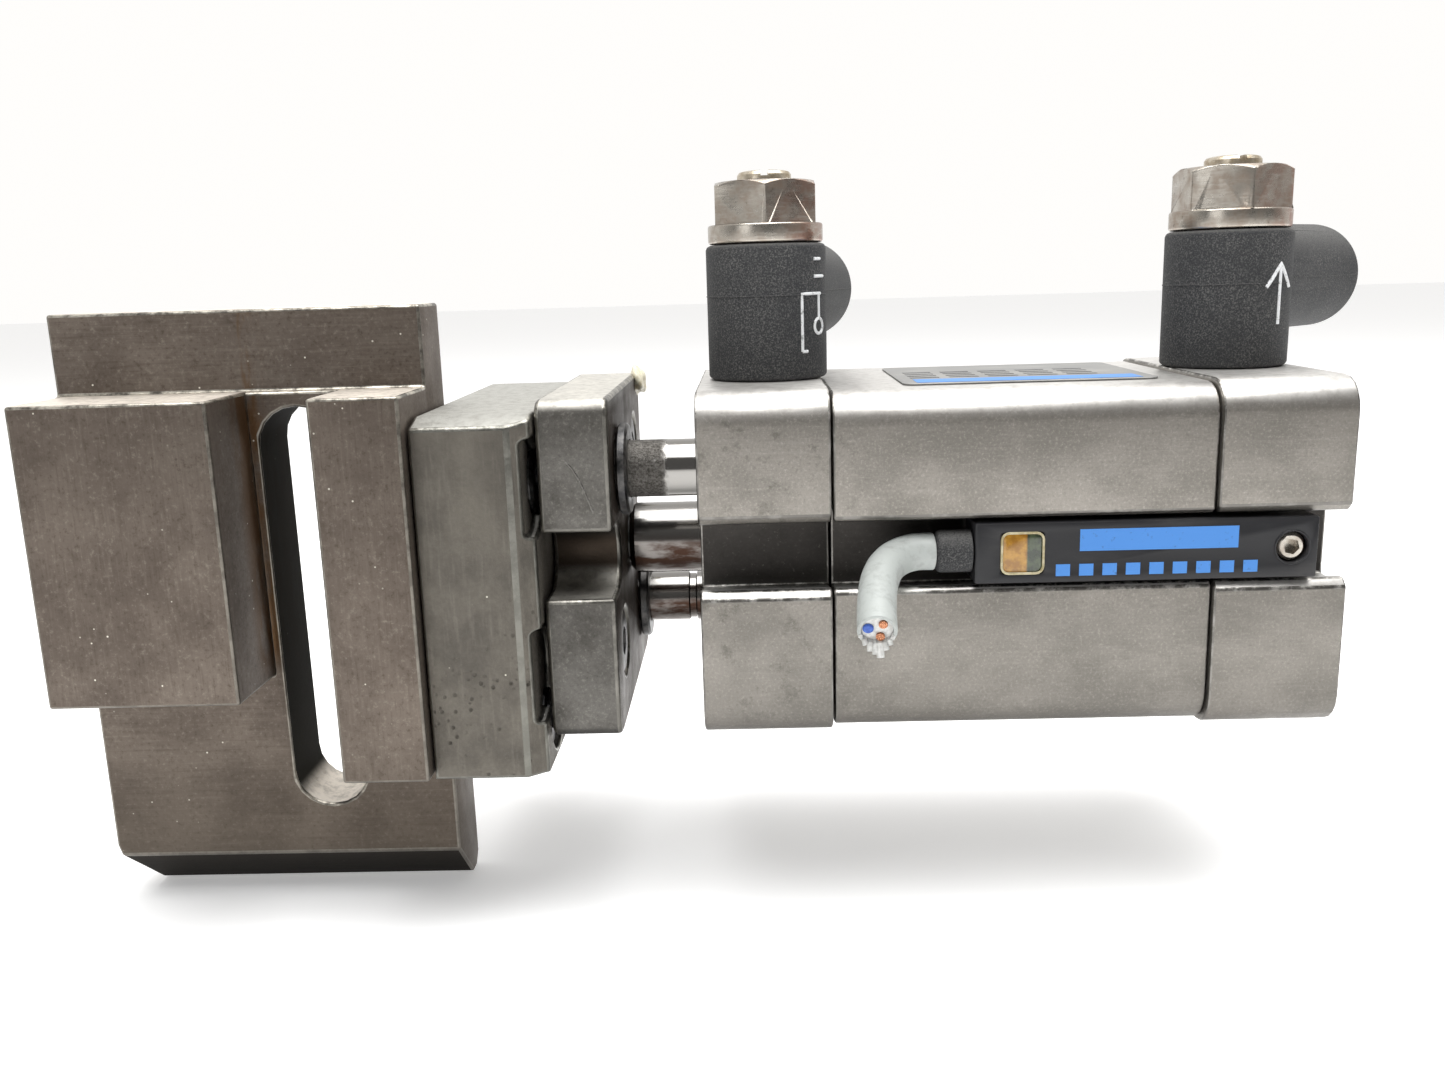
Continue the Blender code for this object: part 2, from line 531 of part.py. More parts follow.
def make_adapter(carriage):
    (x_low, x_high), (y_low, y_high), (z_low, z_high) = ADAPTER_X, ADAPTER_Y, ADAPTER_Z
    outline = ((y_low, z_low), (y_high, z_low), (y_high, z_high), (y_low + 2.9, z_high), (y_low, z_high - 0.9))
    adapter = flat_solid("adapter_plate", outline, x_low, x_high, "X", STEEL_GREEN, carriage)
    corner = ((x_high - 2.7, y_low - 0.5), (x_high + 0.5, y_low - 0.5), (x_high + 0.5, y_low + 1.75))
    boolean(adapter, flat_solid("adapter_corner", corner, z_low - 1, z_high + 1, "Z"))
    for z in (9.1, -10.1):
        bore_x(adapter, x_high - 1.0, x_high + 1, y_low + 2.4, z, 5.0)
    for number, (y, z) in enumerate(FREE_CORNERS, start=1):
        bore_x(adapter, x_high - 9.0, x_high + 1, y, z, 2.2, sides=16)
        cap_screw(f"adapter_screw_{number}", (YOKE_REAR_X - 3.8, y, z), (-1, 0, 0), (3.5, 3.6), 2.0, 11.0,
                  STEEL, carriage)
    for number, (y, z) in enumerate(JAW_SCREWS, start=1):
        bore_x(adapter, x_low - 1, x_high + 1, y, z, 2.2, sides=16)
        bore_x(adapter, x_high - 4.4, x_high + 1, y, z, 3.7)
        cap_screw(f"jaw_screw_{number}", (x_high - 4.2, y, z), (-1, 0, 0), (3.5, 3.6), 2.0, 13.5, STEEL,
                  carriage)


def make_jaw(carriage):
    """The jaw, milled from one piece: plate, rear flange, wide grip block and narrow grip bar."""
    jaw = box("gripper_jaw", (JAW_LEFT_X, JAW_FACE_Y, JAW_BOTTOM_Z), (JAW_RIGHT_X, JAW_BACK_Y, JAW_TOP_Z),
              JAW_STEEL, carriage)
    root = JAW_FACE_Y + 2.0
    solids = (("jaw_flange", (JAW_LEFT_X, FLANGE_FACE_Y, JAW_TOP_Z - 1.0),
               (JAW_RIGHT_X, JAW_BACK_Y, FLANGE_TOP)),
              ("jaw_block", (BLOCK_X[0], JAW_GRIP_Y, BLOCK_LOW_Z), (BLOCK_X[1], root, JAW_TOP_Z)),
              ("jaw_bar", (BAR_LEFT_X, JAW_GRIP_Y, BAR_LOW_Z), (JAW_RIGHT_X, root, JAW_TOP_Z)))
    for name, low, high in solids:
        boolean(jaw, box(name, low, high), "UNION")
    edge_y, edge_z = JAW_FACE_Y - 1, JAW_BOTTOM_Z - 1
    reach = JAW_CHAMFER + 2
    edge = ((edge_y, edge_z + reach), (edge_y, edge_z), (edge_y + reach, edge_z))
    boolean(jaw, flat_solid("jaw_edge_chamfer", edge, JAW_LEFT_X - 1, JAW_RIGHT_X + 1, "X"))
    back = ((JAW_BACK_Y + 1, edge_z + 3.3), (JAW_BACK_Y + 1, edge_z), (JAW_BACK_Y - 2.3, edge_z))
    boolean(jaw, flat_solid("jaw_back_chamfer", back, JAW_LEFT_X - 1, JAW_RIGHT_X + 1, "X"))
    corner = ((JAW_LEFT_X - 0.29, JAW_BOTTOM_Z + 7.5), (JAW_LEFT_X + 2.19, edge_z),
              (JAW_LEFT_X - 2, edge_z), (JAW_LEFT_X - 2, JAW_BOTTOM_Z + 7.5))
    boolean(jaw, flat_solid("jaw_corner_chamfer", corner, JAW_FACE_Y - 1, JAW_BACK_Y + 1, "Y"))
    low_z, high_z = JAW_SLOT_Z
    boolean(jaw, box("jaw_slot", (JAW_SLOT_X - JAW_SLOT_HALF, JAW_FACE_Y - 1, low_z),
                     (JAW_SLOT_X + JAW_SLOT_HALF, JAW_BACK_Y + 1, high_z), corner=JAW_SLOT_HALF - 0.05,
                     corner_axis=1))
    for y, z in JAW_SCREWS:
        bore_x(jaw, JAW_RIGHT_X - 7.4, JAW_RIGHT_X + 1, y, z, 2.2, sides=16)


def make_body(name, place):
    """An empty on a moving body's joint axis, which its pieces are parented to."""
    empty = bpy.data.objects.new(name, None)
    empty.location = Vector(place) * MM
    PARTS.objects.link(empty)
    bpy.context.view_layer.update()
    return empty


def build():
    carriage = make_body("carriage_axis", (YOKE_REAR_X, 0, 0))
    front_cap, barrel, rear_cap = make_housing()
    drill_housing(front_cap, barrel, rear_cap)
    seal_groove(front_cap, "front_cap_seal", FRONT_SEAM_X - GAP / 2, 1)
    seal_groove(rear_cap, "rear_cap_seal", REAR_SEAM_X + GAP / 2, -1)
    make_port(front_cap, "front", FRONT_SEAM_X + 1)
    make_port(rear_cap, "rear", REAR_SEAM_X - 1)
    offset = CAP_SCREW_OFFSET
    screw_down_cap(front_cap, barrel, "front_cap_screw", FRONT_X, 1, ((offset, offset), (-offset, -offset)))
    screw_down_cap(rear_cap, barrel, "rear_cap_screw", 0.0, -1,
                   ((offset, offset), (-offset, offset), (-offset, -offset), (offset, -offset)))
    make_guides()
    make_label()
    make_sensor()
    make_cable()
    for name in FITTINGS:
        make_valve(name)
    make_rod(carriage)
    make_piston(carriage)
    make_guide_rods(carriage)
    make_yoke(carriage)
    make_adapter(carriage)
    make_jaw(carriage)


clear_scene()
PARTS = make_collection("pneumatic_gripper")
CUTTERS = make_collection("cutters")
ALUMINIUM = make_material("anodised_aluminium", (0.46, 0.44, 0.42), 0.42, 1.0)
JAW_STEEL = make_material("jaw_steel", (0.20, 0.18, 0.165), 0.45, 1.0)
STEEL_DARK = make_material("yoke_steel", (0.23, 0.22, 0.20), 0.5, 1.0)
STEEL_GREEN = make_material("adapter_steel", (0.25, 0.25, 0.22), 0.6, 0.8)
STEEL = make_material("screw_steel", (0.18, 0.18, 0.18), 0.4, 1.0)
CHROME = make_material("chromed_rod", (0.65, 0.62, 0.6), 0.15, 1.0)
NICKEL = make_material("nickelled_brass", (0.5, 0.46, 0.4), 0.3, 1.0)
BRASS = make_material("brass", (0.6, 0.5, 0.3), 0.35, 1.0)
BRONZE = make_material("bearing_bronze", (0.45, 0.3, 0.15), 0.5, 1.0)
BLACK = make_material("black_plastic", (0.03, 0.03, 0.032), 0.55)
RUBBER = make_material("seal_rubber", (0.015, 0.015, 0.015), 0.8)
LABEL = make_material("label_film", (0.12, 0.12, 0.12), 0.4)
AMBER = make_material("window_amber", (0.55, 0.3, 0.03), 0.2)
CABLE_GREY = make_material("cable_sheath", (0.45, 0.47, 0.46), 0.55)
CORE_BROWN = make_material("wire_brown", (0.2, 0.06, 0.02), 0.5)
CORE_BLUE = make_material("wire_blue", (0.02, 0.08, 0.4), 0.5)
build()
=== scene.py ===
"""Looks for the guided pneumatic cylinder and its gripper jaw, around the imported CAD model.

Lengths are in metres in the frame of the CAD model. MM turns millimetres into metres.
"""
import json
import math

import bmesh
import bpy
from mathutils import Matrix, Vector


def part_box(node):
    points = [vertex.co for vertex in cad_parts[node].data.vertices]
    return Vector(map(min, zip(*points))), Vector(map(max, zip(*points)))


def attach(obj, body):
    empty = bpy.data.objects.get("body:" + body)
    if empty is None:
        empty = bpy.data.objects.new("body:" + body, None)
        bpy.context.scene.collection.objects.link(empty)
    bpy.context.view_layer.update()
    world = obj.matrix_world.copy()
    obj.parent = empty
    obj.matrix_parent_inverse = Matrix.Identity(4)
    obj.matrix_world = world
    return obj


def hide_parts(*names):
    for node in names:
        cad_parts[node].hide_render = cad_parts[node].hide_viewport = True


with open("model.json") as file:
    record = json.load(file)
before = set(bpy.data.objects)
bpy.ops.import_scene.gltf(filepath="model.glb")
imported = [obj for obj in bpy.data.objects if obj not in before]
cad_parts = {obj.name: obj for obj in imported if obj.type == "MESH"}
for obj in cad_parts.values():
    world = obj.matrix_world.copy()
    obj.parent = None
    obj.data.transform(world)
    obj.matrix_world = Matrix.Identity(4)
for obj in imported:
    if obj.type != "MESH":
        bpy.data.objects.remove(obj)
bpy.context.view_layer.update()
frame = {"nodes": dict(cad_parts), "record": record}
MM = 0.001
X, Y, Z = Vector((1, 0, 0)), Vector((0, 1, 0)), Vector((0, 0, 1))
RECORD = frame["record"]
SLOT_OF = {row["node"]: row["material_slot"] for row in RECORD["subparts"]}
BODY_OF = {node: body for body, nodes in RECORD["behaviour"]["bodies"].items() for node in nodes}

# camera, as the picture was taken: place, direction and focal length
CAMERA_PLACE = Vector((-58.60, -136.98, 28.88)) * MM
CAMERA_DOWN = 12.217
CAMERA_TURN = 1.53
CAMERA_ROLL = -1.705
CAMERA_LENS = 30.58


def centre(node):
    low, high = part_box(node)
    return (low + high) / 2


# ---------------------------------------------------------------- shading tools

class Shade:
    """A Principled material whose inputs are fed by procedural nodes. Sizes are in millimetres."""

    def __init__(self, name, metallic=0.0, roughness=0.5, coat=0.0):
        self.material = bpy.data.materials.new(name)
        self.material.use_nodes = True
        self.tree = self.material.node_tree
        self.shader = self.tree.nodes["Principled BSDF"]
        self.shader.inputs["Metallic"].default_value = metallic
        self.shader.inputs["Roughness"].default_value = roughness
        self.shader.inputs["Coat Weight"].default_value = coat
        self.place = self.add("ShaderNodeTexCoord").outputs["Object"]
        self.normal = self.add("ShaderNodeNewGeometry").outputs["Normal"]

    def add(self, kind, **settings):
        node = self.tree.nodes.new(kind)
        for key, value in settings.items():
            setattr(node, key, value)
        return node

    def feed(self, socket, value):
        if isinstance(value, bpy.types.NodeSocket):
            self.tree.links.new(value, socket)
        elif isinstance(value, tuple) and len(socket.default_value) == 4 and len(value) == 3:
            socket.default_value = (*value, 1.0)
        else:
            socket.default_value = value

    def scaled(self, size, stretch=(1, 1, 1), offset=0.0):
        node = self.add("ShaderNodeMapping")
        self.feed(node.inputs["Vector"], self.place)
        node.inputs["Location"].default_value = (offset, offset * 0.7, offset * 1.3)
        node.inputs["Scale"].default_value = [1 / (size * MM * way) for way in stretch]
        return node.outputs["Vector"]

    def noise(self, size, detail=4.0, rough=0.55, stretch=(1, 1, 1), offset=0.0, warp=0.0):
        """Cloudy pattern from 0 to 1; stretch lengthens its marks along X, Y or Z."""
        node = self.add("ShaderNodeTexNoise")
        self.feed(node.inputs["Vector"], self.scaled(size, stretch, offset))
        node.inputs["Scale"].default_value = 1.0
        node.inputs["Detail"].default_value = detail
        node.inputs["Roughness"].default_value = rough
        node.inputs["Distortion"].default_value = warp
        return node.outputs["Fac"]

    def cells(self, size, stretch=(1, 1, 1), offset=0.0):
        """Distance to scattered points, 0 at each point."""
        node = self.add("ShaderNodeTexVoronoi")
        self.feed(node.inputs["Vector"], self.scaled(size, stretch, offset))
        node.inputs["Scale"].default_value = 1.0
        return node.outputs["Distance"]

    def step(self, value, low, high, bottom=0.0, top=1.0):
        """Smooth step from bottom, at low, to top, at high."""
        node = self.add("ShaderNodeMapRange", interpolation_type="SMOOTHSTEP")
        self.feed(node.inputs["Value"], value)
        node.inputs["From Min"].default_value = min(low, high)
        node.inputs["From Max"].default_value = max(low, high)
        node.inputs["To Min"].default_value = bottom if low < high else top
        node.inputs["To Max"].default_value = top if low < high else bottom
        return node.outputs["Result"]

    def math(self, operation, first, second=0.0):
        node = self.add("ShaderNodeMath", operation=operation)
        self.feed(node.inputs[0], first)
        self.feed(node.inputs[1], second)
        return node.outputs["Value"]

    def times(self, *values):
        result = values[0]
        for value in values[1:]:
            result = self.math("MULTIPLY", result, value)
        return result

    def most(self, first, second):
        return self.math("MAXIMUM", first, second)

    def along(self, axis):
        """Place along X, Y or Z in millimetres."""
        node = self.add("ShaderNodeSeparateXYZ")
        self.feed(node.inputs["Vector"], self.place)
        return self.math("MULTIPLY", node.outputs[axis], 1 / MM)

    def facing(self, axis):
        """The surface normal's part along X, Y or Z."""
        node = self.add("ShaderNodeSeparateXYZ")
        self.feed(node.inputs["Vector"], self.normal)
        return node.outputs[axis]

    def blend(self, amount, first, second, mode="MIX"):
        node = self.add("ShaderNodeMix", data_type="RGBA", blend_type=mode)
        self.feed(node.inputs[0], amount)
        self.feed(node.inputs[6], first)
        self.feed(node.inputs[7], second)
        return node.outputs[2]

    def color(self, value):
        self.feed(self.shader.inputs["Base Color"], value)

    def rough(self, value):
        self.feed(self.shader.inputs["Roughness"], value)

    def metal(self, value):
        self.feed(self.shader.inputs["Metallic"], value)

    def sheen_level(self, value):
        """How strongly a plastic mirrors light: 0.5 is plain, less is dusty."""
        self.shader.inputs["Specular IOR Level"].default_value = value

    def bump(self, height, depth, strength=1.0):
        """Bump whose full height is depth millimetres."""
        node = self.add("ShaderNodeBump")
        self.feed(node.inputs["Height"], height)
        node.inputs["Distance"].default_value = depth * MM
        node.inputs["Strength"].default_value = strength
        self.feed(self.shader.inputs["Normal"], node.outputs["Normal"])


# ---------------------------------------------------------------- materials

def specks(shade, size=1.5, offset=3.0, width=0.085):
    """Scattered bright dots where the surface is chipped."""
    thin = shade.step(shade.noise(7, detail=2, offset=offset), 0.5, 0.62)
    return shade.times(shade.step(shade.cells(size, offset=offset), width, width * 0.4), thin)


def underside_shade(shade):
    """1 on surfaces that face down, used to darken them as painted shade."""
    return shade.step(shade.facing("Z"), -0.25, -0.75)


def top_light_and_wear(shade, tone, bright, low=0.35, high=0.9):
    """Painted light: lighter where a surface faces up, with a little wear in it."""
    patch = shade.step(shade.noise(1.1, detail=5, rough=0.65, offset=17), 0.3, 0.6, 0.65, 1.0)
    upward = shade.step(shade.facing("Z"), low, high)
    return shade.blend(shade.times(upward, patch), tone, bright)


def jaw_steel():
    shade = Shade("jaw_steel", metallic=0.8)
    shade.sheen_level(0.05)
    upright = shade.noise(0.3, detail=4, rough=0.6, stretch=(1, 1, 18))
    level = shade.noise(0.3, detail=4, rough=0.6, stretch=(22, 1, 1), offset=6)
    blotches = shade.noise(7, detail=7, rough=0.62, offset=5)
    fine = shade.noise(0.5, detail=5, rough=0.72, offset=9)
    tone = shade.blend(shade.step(blotches, 0.32, 0.68), (0.148, 0.123, 0.103), (0.113, 0.092, 0.077))
    on_block = shade.step(shade.along("Y"), -19, -21)
    marks = shade.blend(on_block, level, upright)
    tone = shade.blend(shade.step(marks, 0.5, 0.75, 0.0, 0.32), tone, (0.215, 0.184, 0.154))
    tone = shade.blend(shade.step(marks, 0.46, 0.3, 0.0, 0.35), tone, (0.075, 0.058, 0.046))
    tone = shade.blend(shade.step(fine, 0.47, 0.3, 0.0, 0.6), tone, (0.066, 0.052, 0.041))
    tone = shade.blend(shade.step(fine, 0.52, 0.75, 0.0, 0.7), tone, (0.237, 0.207, 0.173))
    tone = shade.blend(rust_strip(shade), tone, (0.105, 0.055, 0.023))
    tone = shade.blend(shade.times(specks(shade), 0.9), tone, (0.8, 0.76, 0.66))
    # Painted shade: darker towards the bottom of the jaw.
    tone = shade.blend(shade.step(shade.along("Z"), -10, -34, 0.0, 0.55), tone, (0.073, 0.061, 0.047))
    # Painted shade: the walls of the long slot are darkened near black.
    slot_shade = slot_shadow(shade)
    tone = shade.blend(shade.times(slot_shade, 0.95), tone, (0.01, 0.01, 0.008))
    shade.metal(shade.step(slot_shade, 0.2, 0.8, 0.8, 0.0))
    # Painted light: lighter on surfaces that face up.
    tone = top_light_and_wear(shade, tone, (0.86, 0.79, 0.7))
    # Painted shade: darker on surfaces that face down.
    tone = shade.blend(shade.times(underside_shade(shade), 0.9), tone, (0.015, 0.014, 0.013))
    shade.color(tone)
    roughness = shade.step(blotches, 0.3, 0.7, 0.42, 0.56)
    shade.rough(shade.most(roughness, shade.times(shade.most(underside_shade(shade), slot_shade), 0.85)))
    shade.bump(shade.math("ADD", marks, shade.times(fine, 0.7)), 0.03, 0.5)
    return shade.material


def slot_shadow(shade):
    """1 on the walls of the long slot, which face along X between its two sides, painted near black as
    shade.
    """
    sideways = shade.step(shade.math("ABSOLUTE", shade.facing("Y")), 0.6, 0.2)
    left = shade.step(shade.along("X"), JAW_SLOT[0] - 0.3, JAW_SLOT[0] - 0.15)
    right = shade.step(shade.along("X"), JAW_SLOT[1] + 0.3, JAW_SLOT[1] + 0.15)
    plate = shade.step(shade.along("Y"), -13.0, -12.4)
    return shade.times(sideways, left, right, plate)


def rust_strip(shade):
    """Brown strip down the channel, in the corner beside the wide block."""
    block_edge = JAW_CHANNEL[0]
    near = shade.step(shade.along("X"), block_edge + 2.2, block_edge + 0.6)
    inside = shade.step(shade.along("X"), block_edge - 0.6, block_edge - 0.3)
    depth = shade.step(shade.along("Y"), -17.5, -14.0)
    broken = shade.step(shade.noise(2.0, detail=5, stretch=(1, 1, 4), offset=12), 0.35, 0.55)
    above = shade.step(shade.along("Z"), -12, -8)
    return shade.times(near, inside, depth, broken, above, 0.85)


def worn_edge_and_highlight(name, bright, dull, low, high):
    """Rubbed bright edge that fades to the colour of the surface beside it, with a painted highlight: it is
    brightest where it faces up.
    """
    shade = Shade(name, metallic=1.0, roughness=0.38)
    worn = shade.step(shade.noise(2.2, detail=6, rough=0.7), low, high)
    upward = shade.step(shade.facing("Z"), -0.1, 0.5, 0.12, 1.0)
    shade.color(shade.blend(shade.times(worn, upward), dull, bright))
    shade.bump(shade.noise(0.6, detail=4), 0.06, 0.6)
    return shade.material


def adapter_steel():
    shade = Shade("adapter_steel", metallic=0.8)
    cloud = shade.noise(6, detail=6, rough=0.62, offset=2)
    grain = shade.noise(0.4, detail=5, rough=0.72, offset=4)
    rubbed = shade.noise(0.5, detail=4, stretch=(1, 1, 10), offset=6)
    tone = shade.blend(shade.step(cloud, 0.32, 0.68), (0.102, 0.093, 0.08), (0.16, 0.146, 0.124))
    tone = shade.blend(shade.step(rubbed, 0.5, 0.75, 0.0, 0.35), tone, (0.21, 0.192, 0.165))
    tone = shade.blend(shade.step(grain, 0.55, 0.78, 0.0, 0.5), tone, (0.23, 0.208, 0.174))
    low_right = shade.step(shade.math("SUBTRACT", shade.along("X"), shade.along("Z")), -86, -70)
    pits = shade.times(shade.step(shade.cells(0.8, offset=7), 0.34, 0.12), low_right,
                       shade.step(shade.noise(2.6, detail=3, offset=8), 0.45, 0.6))
    tone = shade.blend(shade.times(pits, 0.75), tone, (0.034, 0.03, 0.024))
    tone = shade.blend(shade.times(specks(shade, offset=15), 0.8), tone, (0.75, 0.72, 0.62))
    # Painted light: lighter on surfaces that face up.
    tone = top_light_and_wear(shade, tone, (0.42, 0.415, 0.385))
    # Painted shade: darker on surfaces that face down.
    tone = shade.blend(shade.times(underside_shade(shade), 0.85), tone, (0.014, 0.012, 0.011))
    shade.color(tone)
    shade.rough(shade.step(grain, 0.3, 0.7, 0.48, 0.68))
    shade.bump(shade.math("SUBTRACT", shade.times(grain, 0.4), pits), 0.14, 0.8)
    return shade.material


def yoke_steel():
    shade = Shade("yoke_steel", metallic=0.85)
    cloud = shade.noise(5, detail=6, rough=0.6, offset=21)
    grain = shade.noise(0.35, detail=5, rough=0.75, offset=22)
    tone = shade.blend(shade.step(cloud, 0.35, 0.7), (0.122, 0.116, 0.106), (0.083, 0.078, 0.07))
    tone = shade.blend(shade.step(grain, 0.5, 0.72, 0.0, 0.55), tone, (0.238, 0.228, 0.205))
    tone = shade.blend(shade.step(grain, 0.46, 0.3, 0.0, 0.45), tone, (0.04, 0.037, 0.033))
    outer = shade.step(shade.math("ABSOLUTE", shade.along("Y")), 16.6, 17.2)
    tone = shade.blend(shade.math("SUBTRACT", 1.0, shade.most(outer, shade.step(shade.along("Z"), 16, 17))),
                       tone, (0.046, 0.034, 0.025))
    # Painted light: lighter on surfaces that face up.
    tone = top_light_and_wear(shade, tone, (0.6, 0.58, 0.53))
    # Painted shade: darker on surfaces that face down.
    tone = shade.blend(shade.times(underside_shade(shade), 0.7), tone, (0.02, 0.02, 0.018))
    shade.color(tone)
    shade.rough(shade.step(cloud, 0.3, 0.7, 0.42, 0.6))
    shade.bump(grain, 0.06, 0.6)
    return shade.material


def anodised_aluminium():
    shade = Shade("anodised_aluminium", metallic=0.85)
    drawn = shade.noise(0.25, detail=4, rough=0.6, stretch=(20, 1, 1), offset=31)
    cloud = shade.noise(7, detail=7, rough=0.62, stretch=(1.4, 1, 1), offset=32)
    grain = shade.noise(0.3, detail=5, rough=0.75, offset=33)
    tone = shade.blend(shade.step(cloud, 0.34, 0.68), (0.272, 0.253, 0.228), (0.21, 0.197, 0.176))
    tone = shade.blend(shade.step(drawn, 0.5, 0.75, 0.0, 0.25), tone, (0.364, 0.342, 0.311))
    tone = shade.blend(shade.step(grain, 0.5, 0.72, 0.0, 0.6), tone, (0.441, 0.416, 0.372))
    tone = shade.blend(shade.step(grain, 0.47, 0.3, 0.0, 0.5), tone, (0.143, 0.134, 0.117))
    front = shade.step(shade.along("X"), -44, -54, 0.2, 1.0)
    dirt = shade.times(shade.step(shade.noise(2.2, detail=8, rough=0.75, offset=34), 0.52, 0.68), front)
    tone = shade.blend(shade.times(dirt, 0.55), tone, (0.095, 0.09, 0.076))
    # Painted shade: near black deep in the sensor grooves.
    tone = shade.blend(shade.times(groove_inside(shade), 0.93), tone, (0.017, 0.015, 0.014))
    # Painted light: lighter on surfaces that face up.
    tone = top_light_and_wear(shade, tone, (0.66, 0.645, 0.62), 0.15, 0.75)
    # Painted shade: darker towards the bottom, in two steps.
    tone = shade.blend(shade.step(shade.along("Z"), -3, -6, 0.0, 0.22), tone, (0.11, 0.106, 0.094))
    tone = shade.blend(shade.step(shade.along("Z"), -9, -17.5, 0.0, 0.35), tone, (0.073, 0.068, 0.061))
    shade.color(tone)
    shade.rough(shade.step(cloud, 0.3, 0.7, 0.36, 0.48))
    shade.bump(shade.math("ADD", shade.times(drawn, 0.6), grain), 0.025, 0.5)
    return shade.material


def groove_inside(shade):
    """1 deep in the near and far sensor grooves, which are painted near black as shade."""
    depth = shade.step(shade.math("ABSOLUTE", shade.along("Y")), 17.1, 16.6)
    outer = shade.step(shade.math("ABSOLUTE", shade.along("Y")), 10.5, 11.0)
    height = shade.step(shade.math("ABSOLUTE", shade.along("Z")), 6.2, 5.8)
    groove_mottle = shade.step(shade.noise(0.5, detail=5, rough=0.75, offset=37), 0.6, 0.72, 1.0, 0.75)
    return shade.times(depth, outer, height, groove_mottle)


def screw_steel():
    shade = Shade("screw_steel", metallic=1.0)
    patina = shade.noise(1.2, detail=5, rough=0.65, offset=41)
    tone = shade.blend(shade.step(patina, 0.35, 0.7), (0.05, 0.05, 0.052), (0.16, 0.155, 0.15))
    shade.color(tone)
    shade.rough(shade.step(patina, 0.3, 0.7, 0.3, 0.5))
    shade.bump(shade.noise(0.2, detail=3, offset=42), 0.02, 0.5)
    return shade.material


def chromed_rod():
    """Hard chrome, clean by the front cap and dusty by the yoke."""
    shade = Shade("chromed_rod", metallic=1.0, roughness=0.12)
    edge = shade.math("ADD", shade.along("X"), shade.times(shade.noise(1.0, detail=5, offset=52), 1.6))
    clean = shade.step(edge, ROD_CLEAN_X - 0.5, ROD_CLEAN_X + 0.3)
    dust = shade.times(shade.math("SUBTRACT", 1.0, clean),
                       shade.step(shade.noise(1.1, detail=6, rough=0.7, offset=51), 0.25, 0.5, 0.5, 1.0))
    grit = shade.noise(0.25, detail=4, rough=0.75, offset=53)
    dusty = shade.blend(shade.step(grit, 0.35, 0.65), (0.054, 0.05, 0.045), (0.162, 0.153, 0.141))
    shade.color(shade.blend(dust, (0.3, 0.291, 0.276), dusty))
    shade.rough(shade.step(dust, 0.1, 0.8, 0.12, 0.6))
    shade.bump(shade.times(dust, grit), 0.12, 0.7)
    return shade.material


def bright_rod():
    """Hard chrome with warm, dark streaks of painted shade on its lower side."""
    shade = Shade("bright_rod", metallic=1.0, roughness=0.1)
    streaks = shade.noise(2.0, detail=5, rough=0.6, stretch=(3, 1, 1), offset=55)
    streak_mask = shade.step(streaks, 0.4, 0.6, 0.4, 1.0)
    below = shade.step(shade.facing("Z"), 0.45, -0.1)
    # Painted shade: dark, warm streaks on the rod's lower side.
    shade.color(shade.blend(shade.times(streak_mask, below), (0.269, 0.26, 0.247), (0.043, 0.024, 0.017)))
    shade.rough(shade.step(streak_mask, 0.0, 1.0, 0.08, 0.2))
    return shade.material


def nickelled_brass():
    shade = Shade("nickelled_brass", metallic=1.0)
    cloud = shade.noise(2.4, detail=6, rough=0.65, offset=61)
    turned = shade.noise(0.25, detail=3, stretch=(6, 6, 1), offset=62)
    tone = shade.blend(shade.step(cloud, 0.4, 0.68), (0.437, 0.406, 0.359), (0.312, 0.257, 0.211))
    right = shade.step(shade.facing("X"), 0.2, 0.7)
    pink = shade.step(shade.noise(1.8, detail=4, offset=64), 0.4, 0.6, 0.3, 0.9)
    tone = shade.blend(shade.times(right, pink), tone, (0.281, 0.156, 0.117))
    tone = shade.blend(shade.step(turned, 0.5, 0.7, 0.0, 0.3), tone, (0.577, 0.554, 0.507))
    grime = shade.step(shade.noise(0.9, detail=5, rough=0.7, offset=63), 0.6, 0.72)
    tone = shade.blend(shade.times(grime, 0.6), tone, (0.078, 0.066, 0.055))
    shade.color(tone)
    shade.rough(shade.step(cloud, 0.3, 0.7, 0.22, 0.4))
    shade.bump(turned, 0.02, 0.5)
    return shade.material


def brass():
    shade = Shade("brass", metallic=1.0)
    cloud = shade.noise(1.4, detail=5, rough=0.65, offset=66)
    shade.color(shade.blend(shade.step(cloud, 0.35, 0.7), (0.62, 0.56, 0.46), (0.34, 0.27, 0.18)))
    shade.rough(shade.step(cloud, 0.3, 0.7, 0.25, 0.45))
    return shade.material


def bearing_bronze():
    shade = Shade("bearing_bronze", metallic=1.0)
    grain = shade.noise(0.3, detail=4, rough=0.7, offset=68)
    shade.color(shade.blend(shade.step(grain, 0.35, 0.7), (0.24, 0.15, 0.07), (0.48, 0.33, 0.17)))
    shade.rough(shade.step(grain, 0.3, 0.7, 0.4, 0.6))
    return shade.material


def black_plastic():
    """Moulded plastic with fine grey dust, thickest on what faces up."""
    shade = Shade("black_plastic")
    shade.sheen_level(0.22)
    cloud = shade.noise(4, detail=6, rough=0.65, offset=71)
    grit = shade.noise(0.17, detail=4, rough=0.75, offset=72)
    upward = shade.step(shade.facing("Z"), 0.1, 0.9, 0.0, 0.4)
    cover = shade.times(shade.step(grit, 0.45, 0.7), shade.step(cloud, 0.25, 0.7, 0.4, 1.0))
    dust = shade.most(shade.times(cover, 0.6), shade.times(upward, shade.step(grit, 0.3, 0.6)))
    shade.color(shade.blend(dust, (0.03, 0.031, 0.033), (0.25, 0.243, 0.23)))
    shade.rough(shade.step(cover, 0.0, 1.0, 0.7, 0.9))
    shade.bump(grit, 0.035, 0.55)
    return shade.material


